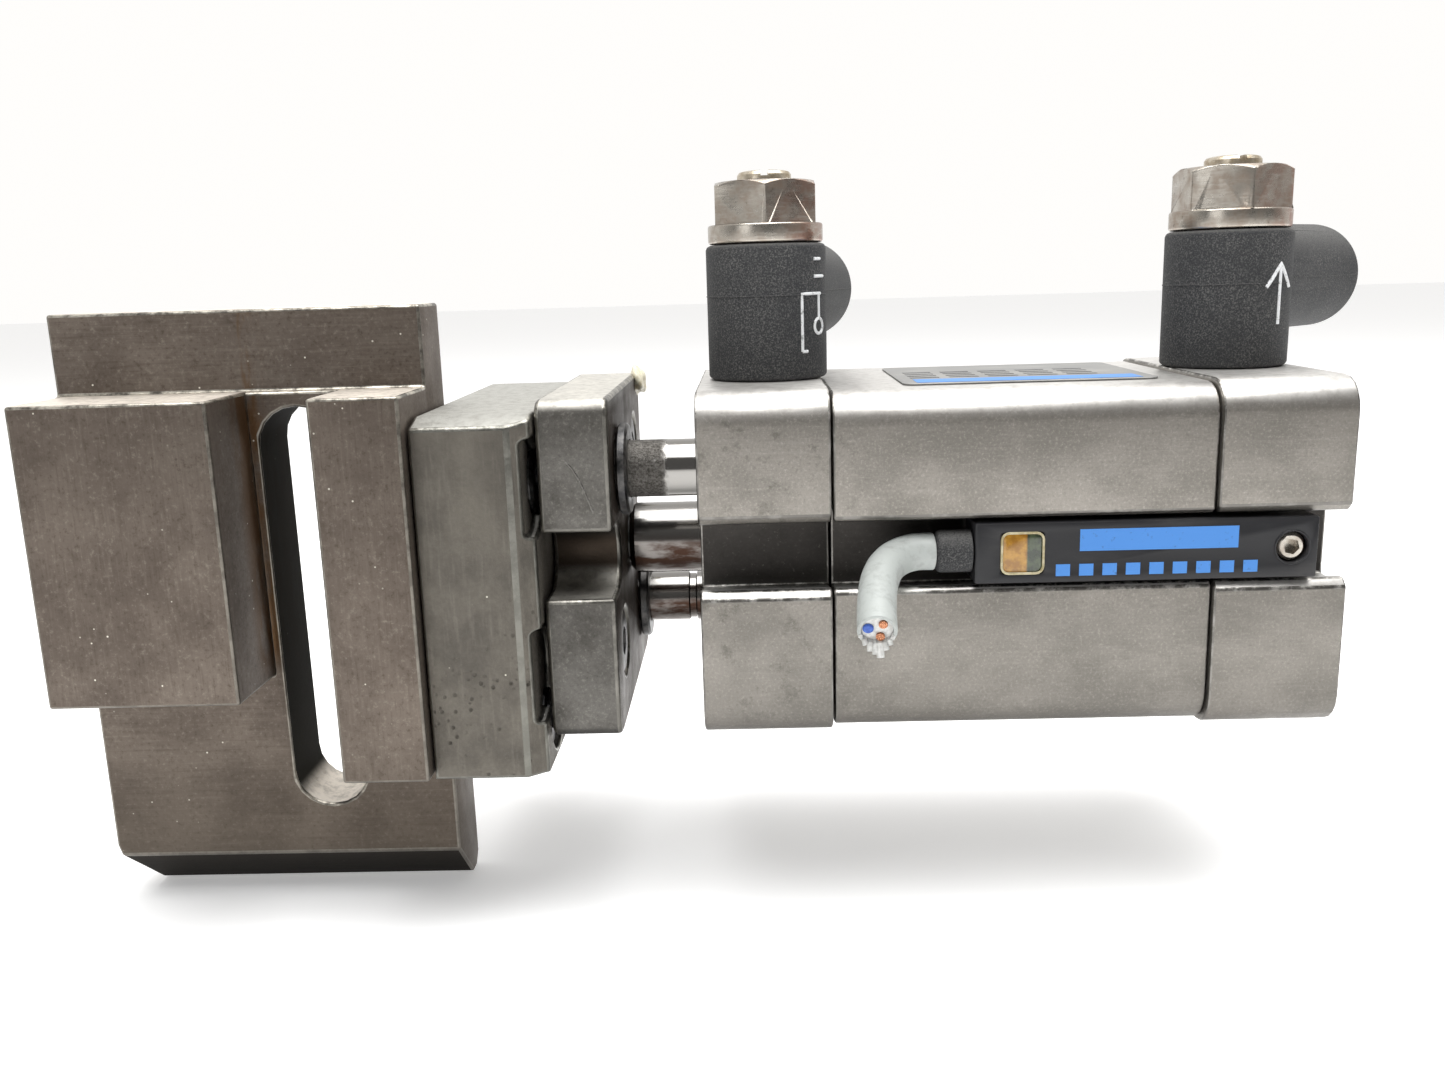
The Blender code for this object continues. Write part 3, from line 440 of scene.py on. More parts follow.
def clean_plastic():
    shade = Shade("clean_plastic")
    shade.sheen_level(0.3)
    grain = shade.noise(0.22, detail=3, rough=0.7, offset=76)
    smear = shade.noise(3, detail=5, stretch=(3, 1, 1), offset=77)
    dust = shade.step(smear, 0.5, 0.75, 0.0, 0.5)
    shade.color(shade.blend(dust, (0.018, 0.018, 0.02), (0.06, 0.058, 0.056)))
    shade.rough(shade.step(smear, 0.3, 0.7, 0.3, 0.5))
    shade.bump(grain, 0.02, 0.5)
    return shade.material


def seal_rubber():
    shade = Shade("seal_rubber")
    grain = shade.noise(0.5, detail=4, rough=0.6, offset=81)
    shade.color(shade.blend(shade.step(grain, 0.4, 0.7), (0.012, 0.012, 0.012), (0.035, 0.034, 0.033)))
    shade.rough(shade.step(grain, 0.3, 0.7, 0.6, 0.8))
    return shade.material


def label_film():
    shade = Shade("label_film", metallic=0.6)
    haze = shade.noise(3, detail=5, rough=0.6, stretch=(2, 1, 1), offset=83)
    shade.color(shade.blend(shade.step(haze, 0.35, 0.7), (0.22, 0.22, 0.215), (0.34, 0.335, 0.32)))
    shade.rough(shade.step(haze, 0.3, 0.7, 0.35, 0.5))
    return shade.material


def print_blue():
    shade = Shade("print_blue", roughness=0.45)
    rub = shade.step(shade.noise(0.5, detail=4, rough=0.7, offset=85), 0.6, 0.75, 0.0, 0.6)
    shade.color(shade.blend(rub, (0.05, 0.22, 0.6), (0.025, 0.06, 0.13)))
    return shade.material


def print_white():
    shade = Shade("print_white", roughness=0.5)
    rub = shade.step(shade.noise(0.45, detail=4, rough=0.7, offset=87), 0.52, 0.7, 0.0, 0.8)
    shade.color(shade.blend(rub, (0.72, 0.73, 0.74), (0.12, 0.12, 0.12)))
    return shade.material


def window_amber():
    """Lamp window, amber at its left and dark green at its right."""
    shade = Shade("window_amber", roughness=0.15, coat=0.6)
    split = centre("sensor_window").x / MM + 0.45
    side = shade.step(shade.along("X"), split - 0.12, split + 0.12)
    glow = shade.noise(0.9, detail=3, offset=91)
    amber = shade.blend(shade.step(glow, 0.35, 0.7), (0.27, 0.12, 0.01), (0.46, 0.24, 0.03))
    green = shade.blend(shade.step(glow, 0.35, 0.7), (0.02, 0.03, 0.015), (0.06, 0.08, 0.04))
    shade.color(shade.blend(side, amber, green))
    return shade.material


def window_rim():
    shade = Shade("window_rim", roughness=0.3)
    tint = shade.noise(0.8, detail=3, offset=93)
    shade.color(shade.blend(shade.step(tint, 0.35, 0.7), (0.32, 0.27, 0.14), (0.5, 0.45, 0.3)))
    return shade.material


def cable_sheath():
    shade = Shade("cable_sheath", roughness=0.45)
    smear = shade.noise(1.6, detail=6, rough=0.7, offset=95)
    shade.color(shade.blend(shade.step(smear, 0.45, 0.75), (0.41, 0.435, 0.418), (0.295, 0.307, 0.295)))
    shade.rough(shade.step(smear, 0.3, 0.7, 0.38, 0.55))
    shade.bump(shade.noise(0.3, detail=3, offset=96), 0.02, 0.5)
    return shade.material


def wire_plastic(name, deep, pale):
    shade = Shade(name, roughness=0.4)
    tint = shade.noise(0.5, detail=3, offset=98)
    shade.color(shade.blend(shade.step(tint, 0.35, 0.7), deep, pale))
    return shade.material


def copper():
    shade = Shade("copper", metallic=1.0, roughness=0.3)
    strands = shade.cells(0.12, offset=99)
    shade.color(shade.blend(shade.step(strands, 0.1, 0.6), (0.85, 0.42, 0.25), (0.3, 0.12, 0.06)))
    shade.bump(strands, 0.05)
    return shade.material


def grease():
    shade = Shade("grease", roughness=0.35)
    tint = shade.noise(0.7, detail=3, offset=101)
    shade.color(shade.blend(shade.step(tint, 0.35, 0.7), (0.62, 0.55, 0.38), (0.82, 0.78, 0.62)))
    return shade.material


# ---------------------------------------------------------------- mesh tools

def add_object(name, mesh):
    obj = bpy.data.objects.new(name, mesh)
    bpy.context.scene.collection.objects.link(obj)
    return obj


def settle(obj, angle=30):
    """Applies an object's modifiers and its transform, so that its mesh lies in the model's frame."""
    bpy.context.view_layer.update()
    graph = bpy.context.evaluated_depsgraph_get()
    mesh = bpy.data.meshes.new_from_object(obj.evaluated_get(graph))
    mesh.transform(obj.matrix_world)
    name = obj.name
    bpy.data.objects.remove(obj, do_unlink=True)
    mesh.shade_smooth()
    mesh.set_sharp_from_angle(angle=math.radians(angle))
    return add_object(name, mesh)


def round_edges(obj, width, segments=3, angle=30, slot=-1):
    step = obj.modifiers.new("round", "BEVEL")
    step.width = width * MM
    step.segments = segments
    step.limit_method = "ANGLE"
    step.angle_limit = math.radians(angle)
    step.use_clamp_overlap = False
    step.miter_outer = "MITER_ARC"
    step.material = slot
    return obj


def paint(obj, *materials):
    obj.data.materials.clear()
    for material in materials:
        obj.data.materials.append(material)
    return obj


def stand_in(obj, node):
    """The piece takes the place of a CAD node, on its body."""
    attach(obj, BODY_OF[node])
    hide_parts(node)
    return obj


def extra(obj, node):
    """A further piece that moves with a CAD node."""
    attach(obj, BODY_OF[node])
    return obj


def from_cad(node, width, materials, segments=2, angle=31):
    """A copy of a CAD node with its flat faces whole again and its edges rounded."""
    mesh = frame["nodes"][node].data.copy()
    bm = bmesh.new()
    bm.from_mesh(mesh)
    bmesh.ops.remove_doubles(bm, verts=bm.verts, dist=0.002 * MM)
    bmesh.ops.dissolve_limit(bm, angle_limit=math.radians(0.8), verts=bm.verts, edges=bm.edges)
    for face in bm.faces:
        face.material_index = 0
    bm.to_mesh(mesh)
    bm.free()
    obj = add_object(node + "_fine", mesh)
    paint(obj, *materials)
    round_edges(obj, width, segments, angle, slot=len(materials) - 1)
    fine = settle(obj, angle=32)
    return stand_in(fine, node)


def turned(name, start, direction, profile, segments=64, closed=False):
    """Turns a profile of (radius, distance) in millimetres, from the far end to the near end."""
    bm = bmesh.new()
    verts = [bm.verts.new((radius * MM, 0.0, away * MM)) for radius, away in profile]
    pairs = list(zip(verts, verts[1:]))
    if closed:
        pairs.append((verts[-1], verts[0]))
    for pair in pairs:
        bm.edges.new(pair)
    mesh = bpy.data.meshes.new(name)
    bm.to_mesh(mesh)
    bm.free()
    obj = add_object(name, mesh)
    obj.rotation_mode = "QUATERNION"
    obj.rotation_quaternion = Vector(direction).to_track_quat("Z", "Y")
    obj.location = start
    screw = obj.modifiers.new("turn", "SCREW")
    screw.steps = segments
    screw.render_steps = segments
    screw.use_merge_vertices = True
    screw.merge_threshold = 0.00001
    return settle(obj)


def prism(name, start, end, radius, sides, turn=0.0):
    along = (end - start).to_track_quat("Z", "Y").to_matrix().to_4x4()
    place = Matrix.Translation((start + end) / 2) @ along @ Matrix.Rotation(turn, 4, "Z")
    bm = bmesh.new()
    bmesh.ops.create_cone(bm, cap_ends=True, segments=sides, radius1=radius * MM, radius2=radius * MM,
                          depth=(end - start).length, matrix=place)
    mesh = bpy.data.meshes.new(name)
    bm.to_mesh(mesh)
    bm.free()
    return add_object(name, mesh)


def combine(obj, other, operation="DIFFERENCE"):
    """Cuts, joins or intersects with another object, which is used up."""
    step = obj.modifiers.new("combine", "BOOLEAN")
    step.operation = operation
    step.solver = "EXACT"
    step.object = other
    result = settle(obj)
    bpy.data.objects.remove(other, do_unlink=True)
    return result


def block(name, low, high, corner=0.0, corner_axis=2):
    """A box between two corners in metres, with the edges along one axis rounded."""
    bm = bmesh.new()
    size = Matrix.Diagonal((*(high - low), 1.0))
    bmesh.ops.create_cube(bm, size=1.0, matrix=Matrix.Translation((low + high) / 2) @ size)
    if corner:
        edges = [edge for edge in bm.edges
                 if abs((edge.verts[0].co - edge.verts[1].co).normalized()[corner_axis]) > 0.99]
        bmesh.ops.bevel(bm, geom=edges, offset=corner * MM, segments=6, profile=0.5, affect="EDGES")
    mesh = bpy.data.meshes.new(name)
    bm.to_mesh(mesh)
    bm.free()
    return add_object(name, mesh)


def join(name, pieces):
    """One object from several, each already in the frame."""
    bm = bmesh.new()
    for piece in pieces:
        bm.from_mesh(piece.data)
        bpy.data.objects.remove(piece, do_unlink=True)
    mesh = bpy.data.meshes.new(name)
    bm.to_mesh(mesh)
    bm.free()
    return add_object(name, mesh)


def line(name, points, radius, closed=False, sides=3):
    """A thin round line through points in metres."""
    curve = bpy.data.curves.new(name, "CURVE")
    curve.dimensions = "3D"
    curve.bevel_depth = radius * MM
    curve.bevel_resolution = sides
    curve.use_fill_caps = True
    spline = curve.splines.new("POLY")
    spline.points.add(len(points) - 1)
    for point, place in zip(spline.points, points):
        point.co = (*place, 1.0)
    spline.use_cyclic_u = closed
    return settle(add_object(name, curve))


# ---------------------------------------------------------------- places taken from the frame

JAW_LOW, JAW_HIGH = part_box("gripper_jaw")
JAW_SLOT = (-109.4, -101.4)
JAW_CHANNEL = (-110.25, -100.7)                     # wide block's and narrow bar's facing sides, mm
ROD_CLEAN_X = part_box("front_cap")[0].x / MM - 2.6   # where the dust on the rods ends, mm


# ---------------------------------------------------------------- pieces

def make_housing():
    for node in ("front_cap", "barrel", "rear_cap"):
        from_cad(node, 0.22, (LOOK["anodised_aluminium"], EDGE_ALUMINIUM))


def make_carriage_plates():
    from_cad("yoke_plate", 0.45, (LOOK["yoke_steel"], EDGE_YOKE), segments=3)
    from_cad("adapter_plate", 0.35, (LOOK["adapter_steel"], EDGE_ADAPTER), segments=3)
    from_cad("gripper_jaw", 0.3, (LOOK["jaw_steel"], EDGE_JAW), segments=3)


def make_round_rod(node, look, mark=None):
    """A rod rebuilt finely over its CAD solid, with an optional dark groove at a place along it."""
    low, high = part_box(node)
    radius = (high.z - low.z) / 2 / MM
    length = (high.x - low.x) / MM
    start = Vector((low.x, (low.y + high.y) / 2, (low.z + high.z) / 2))
    profile = [(0, length), (radius - 0.4, length), (radius, length - 0.4)]
    if mark is not None:
        place = mark - low.x / MM
        profile += [(radius, place + 0.5), (radius - 0.25, place + 0.35), (radius - 0.25, place - 0.35),
                    (radius, place - 0.5)]
    profile += [(radius, 0.3), (radius - 0.3, 0), (0, 0)]
    rod = turned(node + "_fine", start, X, profile, segments=72)
    stand_in(paint(rod, look), node)


def make_rods():
    make_round_rod("guide_rod_upper", LOOK["chromed_rod"])
    make_round_rod("guide_rod_lower", BRIGHT_ROD, mark=ROD_CLEAN_X + 0.6)
    low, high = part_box("piston_rod")
    radius = (high.z - low.z) / 2 / MM
    tail = 2.4
    shoulder = (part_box("piston")[0].x - low.x) / MM - 0.2
    length = (high.x - low.x) / MM
    profile = ((0, length), (tail, length), (tail, shoulder), (radius, shoulder), (radius, 0.6),
               (radius - 0.6, 0), (0, 0))
    rod = turned("piston_rod_fine", Vector((low.x, 0, 0)), X, profile, segments=72)
    stand_in(paint(rod, BRIGHT_ROD), "piston_rod")
    for node in ("guide_collar_upper", "guide_collar_lower"):
        make_collar(node)


def make_collar(node):
    low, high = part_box(node)
    outer = (high.z - low.z) / 2 / MM
    inner = 3.1
    wide = (high.x - low.x) / MM
    start = Vector((low.x, (low.y + high.y) / 2, (low.z + high.z) / 2))
    profile = ((outer - 0.25, wide), (outer, wide - 0.25), (outer, 0.2), (outer - 0.2, 0), (inner, 0),
               (inner, wide))
    collar = turned(node + "_fine", start, X, profile, closed=True)
    stand_in(paint(collar, LOOK["screw_steel"]), node)


def make_socket_screw(node, head_height, head_outward):
    """A socket head screw along X, rebuilt finely inside its CAD node's box."""
    low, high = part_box(node)
    head = (high.z - low.z) / 2 / MM
    length = (high.x - low.x) / MM
    shank = SHANK_OF[node.rstrip("_1234")]
    outward = X * head_outward
    tip = Vector((low.x if head_outward > 0 else high.x, (low.y + high.y) / 2, (low.z + high.z) / 2))
    seat = length - head_height
    rim = 0.3
    profile = ((0, length), (head - rim, length), (head - rim * 0.3, length - rim * 0.3),
               (head, length - rim), (head, seat), (shank, seat), (shank, 0.3), (shank - 0.3, 0), (0, 0))
    screw = turned(node + "_body", tip, outward, profile, segments=48)
    top = tip + outward * (length + 0.5) * MM
    floor = tip + outward * (length - head_height * 0.6) * MM
    screw = combine(screw, prism("socket", floor, top, head * 0.5, 6))
    screw.name = node + "_fine"
    stand_in(paint(screw, LOOK["screw_steel"]), node)


SHANK_OF = {"rear_cap_screw": 1.5, "front_cap_screw": 1.5, "adapter_screw": 2.0}


def make_screws():
    for number in (1, 2, 3, 4):
        make_socket_screw(f"rear_cap_screw_{number}", 3.0, 1)
    for number in (1, 2):
        make_socket_screw(f"front_cap_screw_{number}", 3.0, -1)
        make_socket_screw(f"adapter_screw_{number}", 3.6, 1)


# ---------------------------------------------------------------- flow valves

def make_valve(name):
    axis_x = centre(name + "_hollow_screw").x
    ring = centre(name + "_release_ring")
    out = Vector((ring.x - axis_x, ring.y, 0)).normalized()
    middle = Vector((axis_x, 0, ring.z))
    make_elbow(name, axis_x, middle, out)
    make_hollow_screw(name, axis_x)
    make_needle(name, axis_x)
    make_release_ring(name, middle, out)


def make_elbow(name, axis_x, middle, out):
    """Swivelling plastic body: upright barrel, outlet tube with a domed end, bore and tube socket."""
    node = name + "_elbow_body"
    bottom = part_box(node)[0].z / MM
    top = ELBOW_TOP
    radius = 6.5
    shell = ((0, top), (radius - 0.5, top), (radius - 0.15, top - 0.15), (radius, top - 0.5),
             (radius, bottom + 0.3), (radius - 0.3, bottom), (0, bottom))
    upright = turned(node + "_upright", Vector((axis_x, 0, 0)), Z, shell, segments=96)
    length, outlet, dome = 20.0, 5.8, 1.6
    arc = [math.radians(90 * step / 8) for step in range(9)]
    profile = [(0, length)]
    profile += [(outlet - dome + dome * math.sin(angle), length - dome + dome * math.cos(angle))
                for angle in arc]
    profile += [(outlet, 0.4), (0, 0.4)]
    body = combine(upright, turned("outlet", middle, out, profile, segments=72), "UNION")
    seat = bottom + 1.3
    bore = ((0, top + 5), (6.4, top + 5), (6.4, top), (3.2, top), (3.2, seat), (5.3, seat),
            (5.3, bottom - 1), (0, bottom - 1))
    body = combine(body, turned("bore", Vector((axis_x, 0, 0)), Z, bore, segments=60))
    socket = ((0, length + 1), (4.0, length + 1), (4.0, 9.3), (1.5, 9.3), (1.5, 2.0), (0, 2.0))
    body = combine(body, turned("socket", middle, out, socket, segments=50))
    body.name = node + "_fine"
    round_edges(body, 0.12, segments=2, angle=34)
    body = settle(body, angle=40)
    stand_in(paint(body, LOOK["black_plastic"]), node)
    make_elbow_seams(name, axis_x, middle, out, radius)


def make_elbow_seams(name, axis_x, middle, out, radius):
    """Mould seams: round the upright barrel and along both sides of the outlet."""
    node = name + "_elbow_body"
    across = Z.cross(out)
    seam_z = (SEAM_Z if name == "front" else SEAM_Z - 0.2) * MM
    outlet_angle = math.atan2(out.y, out.x)
    gap = math.radians(62)
    steps = 60
    angles = [outlet_angle + gap + (2 * math.pi - 2 * gap) * step / steps for step in range(steps + 1)]
    loop = [Vector((axis_x + math.cos(a) * radius * MM, math.sin(a) * radius * MM, seam_z)) for a in angles]
    seams = [line(node + "_seam", loop, 0.07)]
    for side in (1, -1):
        start = middle + across * side * 5.8 * MM + out * 3.4 * MM
        end = middle + across * side * 5.8 * MM + out * 18.2 * MM
        seams.append(line("side_seam", [start, (start + end) / 2, end], 0.07))
    seam = join(node + "_seams", seams)
    extra(paint(seam, LOOK["black_plastic"]), node)


def make_hollow_screw(name, axis_x):
    """Banjo screw: stem, round flange, chamfered hexagon and a bore for the needle."""
    node = name + "_hollow_screw"
    low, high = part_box(node)
    flange_low, flange_top, hex_top = ELBOW_TOP + 0.1, FLANGE_TOP, high.z / MM
    stem = ((0, flange_top), (6.0, flange_top), (6.15, flange_top - 0.08), (6.2, flange_top - 0.25),
            (6.2, flange_low + 0.2), (6.05, flange_low), (2.5, flange_low), (2.5, low.z / MM),
            (0, low.z / MM))
    screw = turned(node + "_stem", Vector((axis_x, 0, 0)), Z, stem, segments=72)
    corner = 5.3 / math.cos(math.radians(30))
    hex_foot = Vector((axis_x, 0, (flange_top - 0.5) * MM))
    hexagon = prism("hexagon", hex_foot, Vector((axis_x, 0, hex_top * MM)), corner, 6)
    flat = 5.35
    slope = (corner + 0.2 - flat) * math.tan(math.radians(30))
    cone = ((0, hex_top), (flat - 0.1, hex_top), (corner + 0.2, hex_top - slope - 0.1),
            (corner + 0.2, flange_top - 1), (0, flange_top - 1))
    hexagon = combine(hexagon, turned("cone", Vector((axis_x, 0, 0)), Z, cone, segments=72), "INTERSECT")
    screw = combine(screw, hexagon, "UNION")
    bore = prism("bore", Vector((axis_x, 0, low.z - MM)), Vector((axis_x, 0, high.z + MM)), 1.7, 32)
    screw = combine(screw, bore)
    screw.name = node + "_fine"
    round_edges(screw, 0.1, segments=2, angle=28)
    screw = settle(screw, angle=30)
    stand_in(paint(screw, LOOK["nickelled_brass"]), node)


def make_needle(name, axis_x):
    node = name + "_needle_screw"
    low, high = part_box(node)
    top, bottom = high.z / MM, low.z / MM
    head_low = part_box(name + "_hollow_screw")[1].z / MM + 0.2
    profile = ((0, top), (2.3, top), (2.7, top - 0.12), (2.9, top - 0.4), (2.9, head_low), (1.45, head_low),
               (1.45, bottom + 5), (0.5, bottom), (0, bottom))
    needle = turned(node + "_body", Vector((axis_x, 0, 0)), Z, profile, segments=56)
    slot_low = Vector((axis_x - 0.4 * MM, -4 * MM, (top - 0.6) * MM))
    slot_high = Vector((axis_x + 0.4 * MM, 4 * MM, (top + 1) * MM))
    needle = combine(needle, block("slot", slot_low, slot_high))
    needle.name = node + "_fine"
    stand_in(paint(needle, LOOK["brass"]), node)


def make_release_ring(name, middle, out):
    node = name + "_release_ring"
    rim = ((4.3, 8.0), (4.6, 7.7), (4.6, 7.4), (4.4, 7.3), (3.4, 7.3), (3.4, 0.0), (2.2, 0.0), (2.2, 7.7),
           (2.5, 8.0))
    piece = turned(node + "_fine", middle + out * 13.6 * MM, out, rim, segments=48, closed=True)
    stand_in(paint(piece, LOOK["black_plastic"]), node)


# ---------------------------------------------------------------- printed marks

def on_barrel(axis_x, degrees, height, radius=6.5):
    """A point on the upright barrel: degrees from the camera's side towards +X, height in mm."""
    angle = math.radians(degrees)
    return Vector((axis_x + math.sin(angle) * radius * MM, -math.cos(angle) * radius * MM, height * MM))


def barrel_stroke(axis_x, points, width):
    """A printed line that bends round the barrel, between points of (degrees, height)."""
    path = []
    for (turn_a, height_a), (turn_b, height_b) in zip(points, points[1:]):
        for step in range(7):
            share = step / 6
            path.append(on_barrel(axis_x, turn_a + (turn_b - turn_a) * share,
                                  height_a + (height_b - height_a) * share))
    return line("stroke", path, width, sides=2)


def make_front_mark():
    """The general drawing symbol of a throttle: a frame, a restriction and a small circle."""
    x = centre("front_hollow_screw").x
    strokes = [((34, 20.8), (34, 26.8), (60, 26.8)), ((40, 20.8), (34, 20.8)), ((57, 24.2), (57, 26.8)),
               ((50, 28.6), (66, 28.6)), ((50, 30.4), (60, 30.4))]
    pieces = [barrel_stroke(x, points, 0.17) for points in strokes]
    loop = [on_barrel(x, 57 + 7 * math.cos(a), 23.4 + 0.8 * math.sin(a))
            for a in [2 * math.pi * step / 20 for step in range(20)]]
    pieces.append(line("stroke", loop, 0.17, closed=True, sides=2))
    mark = join("front_elbow_mark", pieces)
    extra(paint(mark, PRINT_WHITE), "front_elbow_body")


def make_rear_mark():
    """A plain arrow for the direction of flow."""
    x = centre("rear_hollow_screw").x
    strokes = [((32, 22.3), (32, 28.3)), ((16, 26.1), (32, 28.5), (48, 26.1))]
    mark = join("rear_elbow_mark", [barrel_stroke(x, points, 0.2) for points in strokes])
    extra(paint(mark, PRINT_WHITE), "rear_elbow_body")


def bars(name, places, low_b, high_b, level, thick, plane):
    """Flat printed bars: places are (from, to) along X, in one plane, in millimetres."""
    pieces = []
    for start, end in places:
        if plane == "top":
            low, high = Vector((start, low_b, level)), Vector((end, high_b, level + thick))
        else:
            low, high = Vector((start, level - thick, low_b)), Vector((end, level, high_b))
        pieces.append(block("bar", low * MM, high * MM))
    return join(name, pieces)


def make_label():
    from_cad("name_label", 0.03, (LOOK["label_film"],), segments=1)
    low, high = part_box("name_label")
    top = high.z / MM
    left, right = low.x / MM, high.x / MM
    wide = bars("label_bar", [(left + 1.5, right - 1.5)], -10.0, -6.2, top, 0.03, "top")
    extra(paint(wide, PRINT_BLUE), "name_label")
    dashes = [(left + 1.5 + 4.2 * step, left + 4.6 + 4.2 * step) for step in range(5)]
    rows = [bars("row", dashes, row, row + 0.8, top, 0.03, "top") for row in (-4.4, -2.2, 0.0, 2.2)]
    extra(paint(join("label_rows", rows), PRINT_DARK), "name_label")


# ---------------------------------------------------------------- sensor and its cable

def make_sensor():
    make_sensor_housing()
    make_window()
    make_clamp_screw()
    make_sensor_print()
    low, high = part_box("sensor_boot")
    radius = (high.z - low.z) / 2 / MM
    length = (high.x - low.x) / MM
    start = Vector((low.x, (low.y + high.y) / 2, (low.z + high.z) / 2))
    profile = ((0, length), (radius, length), (radius, 0.5), (radius - 0.12, 0.2), (radius - 0.4, 0), (0, 0))
    boot = turned("sensor_boot_fine", start, X, profile, segments=48)
    stand_in(paint(boot, LOOK["black_plastic"]), "sensor_boot")


def make_sensor_housing():
    """Long block with a recess for the lamp window and a hole for the clamp screw."""
    low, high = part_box("sensor_housing")
    housing = block("housing_block", low, high)
    window_low, window_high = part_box("sensor_window")
    slack = Vector((0.06, 0.0, 0.06)) * MM
    recess = block("recess", Vector((window_low.x, low.y - MM, window_low.z)) - slack,
                   Vector((window_high.x, window_high.y + 0.06 * MM, window_high.z)) + slack)
    housing = combine(housing, recess)
    screw_low, screw_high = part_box("sensor_clamp_screw")
    axis = centre("sensor_clamp_screw")
    hole = prism("hole", Vector((axis.x, low.y - MM, axis.z)), Vector((axis.x, high.y + MM, axis.z)),
                 (screw_high.z - screw_low.z) / 2 / MM + 0.15, 48)
    housing = combine(housing, hole)
    housing.name = "sensor_housing_fine"
    round_edges(housing, 0.2, segments=3)
    stand_in(paint(settle(housing), CLEAN_PLASTIC), "sensor_housing")


def make_window():
    low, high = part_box("sensor_window")
    window = block("sensor_window_fine", low, high, corner=0.7, corner_axis=1)
    round_edges(window, 0.15, segments=2)
    stand_in(paint(settle(window), LOOK["window_amber"]), "sensor_window")
    face_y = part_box("sensor_housing")[0].y / MM
    middle = centre("sensor_window")
    half = 2.05
    corners = []
    for turn in range(4):
        angle = math.radians(90 * turn)
        for step in range(5):
            bend = angle + math.radians(22.5 * step)
            corner_x = math.copysign(half - 0.7, math.cos(angle + math.pi / 4))
            corner_z = math.copysign(half - 0.7, math.sin(angle + math.pi / 4))
            corners.append(Vector((middle.x + (corner_x + 0.7 * math.cos(bend)) * MM, (face_y + 0.02) * MM,
                                   middle.z + (corner_z + 0.7 * math.sin(bend)) * MM)))
    rim = line("sensor_window_rim", corners, 0.13, closed=True)
    extra(paint(rim, WINDOW_RIM), "sensor_window")


def make_clamp_screw():
    low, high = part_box("sensor_clamp_screw")
    middle = centre("sensor_clamp_screw")
    radius = (high.z - low.z) / 2 / MM
    length = (high.y - low.y) / MM
    profile = ((0, length), (radius - 0.3, length), (radius, length - 0.25), (radius, 0), (0, 0))
    screw = turned("clamp_screw_body", Vector((middle.x, high.y, middle.z)), -Y, profile, segments=48)
    top = Vector((middle.x, low.y - MM, middle.z))
    floor = Vector((middle.x, low.y + 1.3 * MM, middle.z))
    screw = combine(screw, prism("socket", floor, top, 0.82, 6, math.radians(15)))
    screw.name = "sensor_clamp_screw_fine"
    stand_in(paint(screw, LOOK["nickelled_brass"]), "sensor_clamp_screw")
    ring = [Vector((middle.x + math.cos(a) * 1.68 * MM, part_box("sensor_housing")[0].y, middle.z
                    + math.sin(a) * 1.68 * MM)) for a in [2 * math.pi * step / 40 for step in range(40)]]
    lip = line("sensor_screw_lip", ring, 0.1, closed=True)
    extra(paint(lip, CLEAN_PLASTIC), "sensor_housing")


def make_sensor_print():
    """Plain blue bars on the sensor: one broad stripe and a row of short dashes."""
    low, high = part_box("sensor_housing")
    face = low.y / MM
    middle = (low.z + high.z) / 2 / MM
    start = centre("sensor_window").x / MM + 5.6
    stripe = bars("stripe", [(start, start + 15.5)], middle + 0.1, middle + 2.3, face, 0.03, "front")
    dashes = [(start - 2.3 + 2.3 * step, start - 0.9 + 2.3 * step) for step in range(9)]
    row = bars("dashes", dashes, middle - 2.4, middle - 1.2, face, 0.03, "front")
    mark = join("sensor_print", [stripe, row])
    extra(paint(mark, PRINT_BLUE), "sensor_housing")


CABLE_ROUTE = ((-40.7, -16.0, 1.2), (-42.6, -16.2, 1.2), (-44.4, -17.2, 0.9), (-45.8, -19.1, 0.3),
               (-46.7, -21.6, -0.7), (-47.2, -24.6, -2.0), (-47.5, -28.0, -3.5))


def smooth_route(points, steps=8):
    """A Catmull-Rom curve through points, so that the cable bends evenly."""
    ends = [points[0] * 2 - points[1]] + points + [points[-1] * 2 - points[-2]]
    route = []
    for before, start, end, after in zip(ends, ends[1:], ends[2:], ends[3:]):
        for step in range(steps):
            t = step / steps
            route.append(0.5 * (2 * start + (end - before) * t
                                + (2 * before - 5 * start + 4 * end - after) * t * t
                                + (3 * start - before - 3 * end + after) * t ** 3))
    return route + [points[-1]]


def make_cable():
    """The cut cable: hollow sheath, pale filler and three wires that stand out of the cut."""
    route = smooth_route([Vector(point) * MM for point in CABLE_ROUTE])
    end = route[-1]
    along = (end - route[-2]).normalized()
    curve = bpy.data.curves.new("sheath", "CURVE")
    curve.dimensions = "3D"
    curve.bevel_depth = 1.88 * MM
    curve.bevel_resolution = 10
    spline = curve.splines.new("POLY")
    spline.points.add(len(route) - 1)
    for point, place in zip(spline.points, route):
        point.co = (*place, 1.0)
    sheath = settle(add_object("sheath", curve))
    wall = sheath.modifiers.new("wall", "SOLIDIFY")
    wall.thickness = 0.38 * MM
    wall.offset = -1
    sheath.name = "cable_stub_fine"
    round_edges(sheath, 0.08, segments=2, angle=50)
    sheath = settle(sheath, angle=40)
    stand_in(paint(sheath, LOOK["cable_sheath"]), "cable_stub")
    filler = prism("cable_filler", end - along * 2.4 * MM, end - along * 0.35 * MM, 1.46, 32)
    extra(paint(settle(filler), FILLER), "cable_stub")
    make_wires(end, along)
    make_torn_rim(end, along)


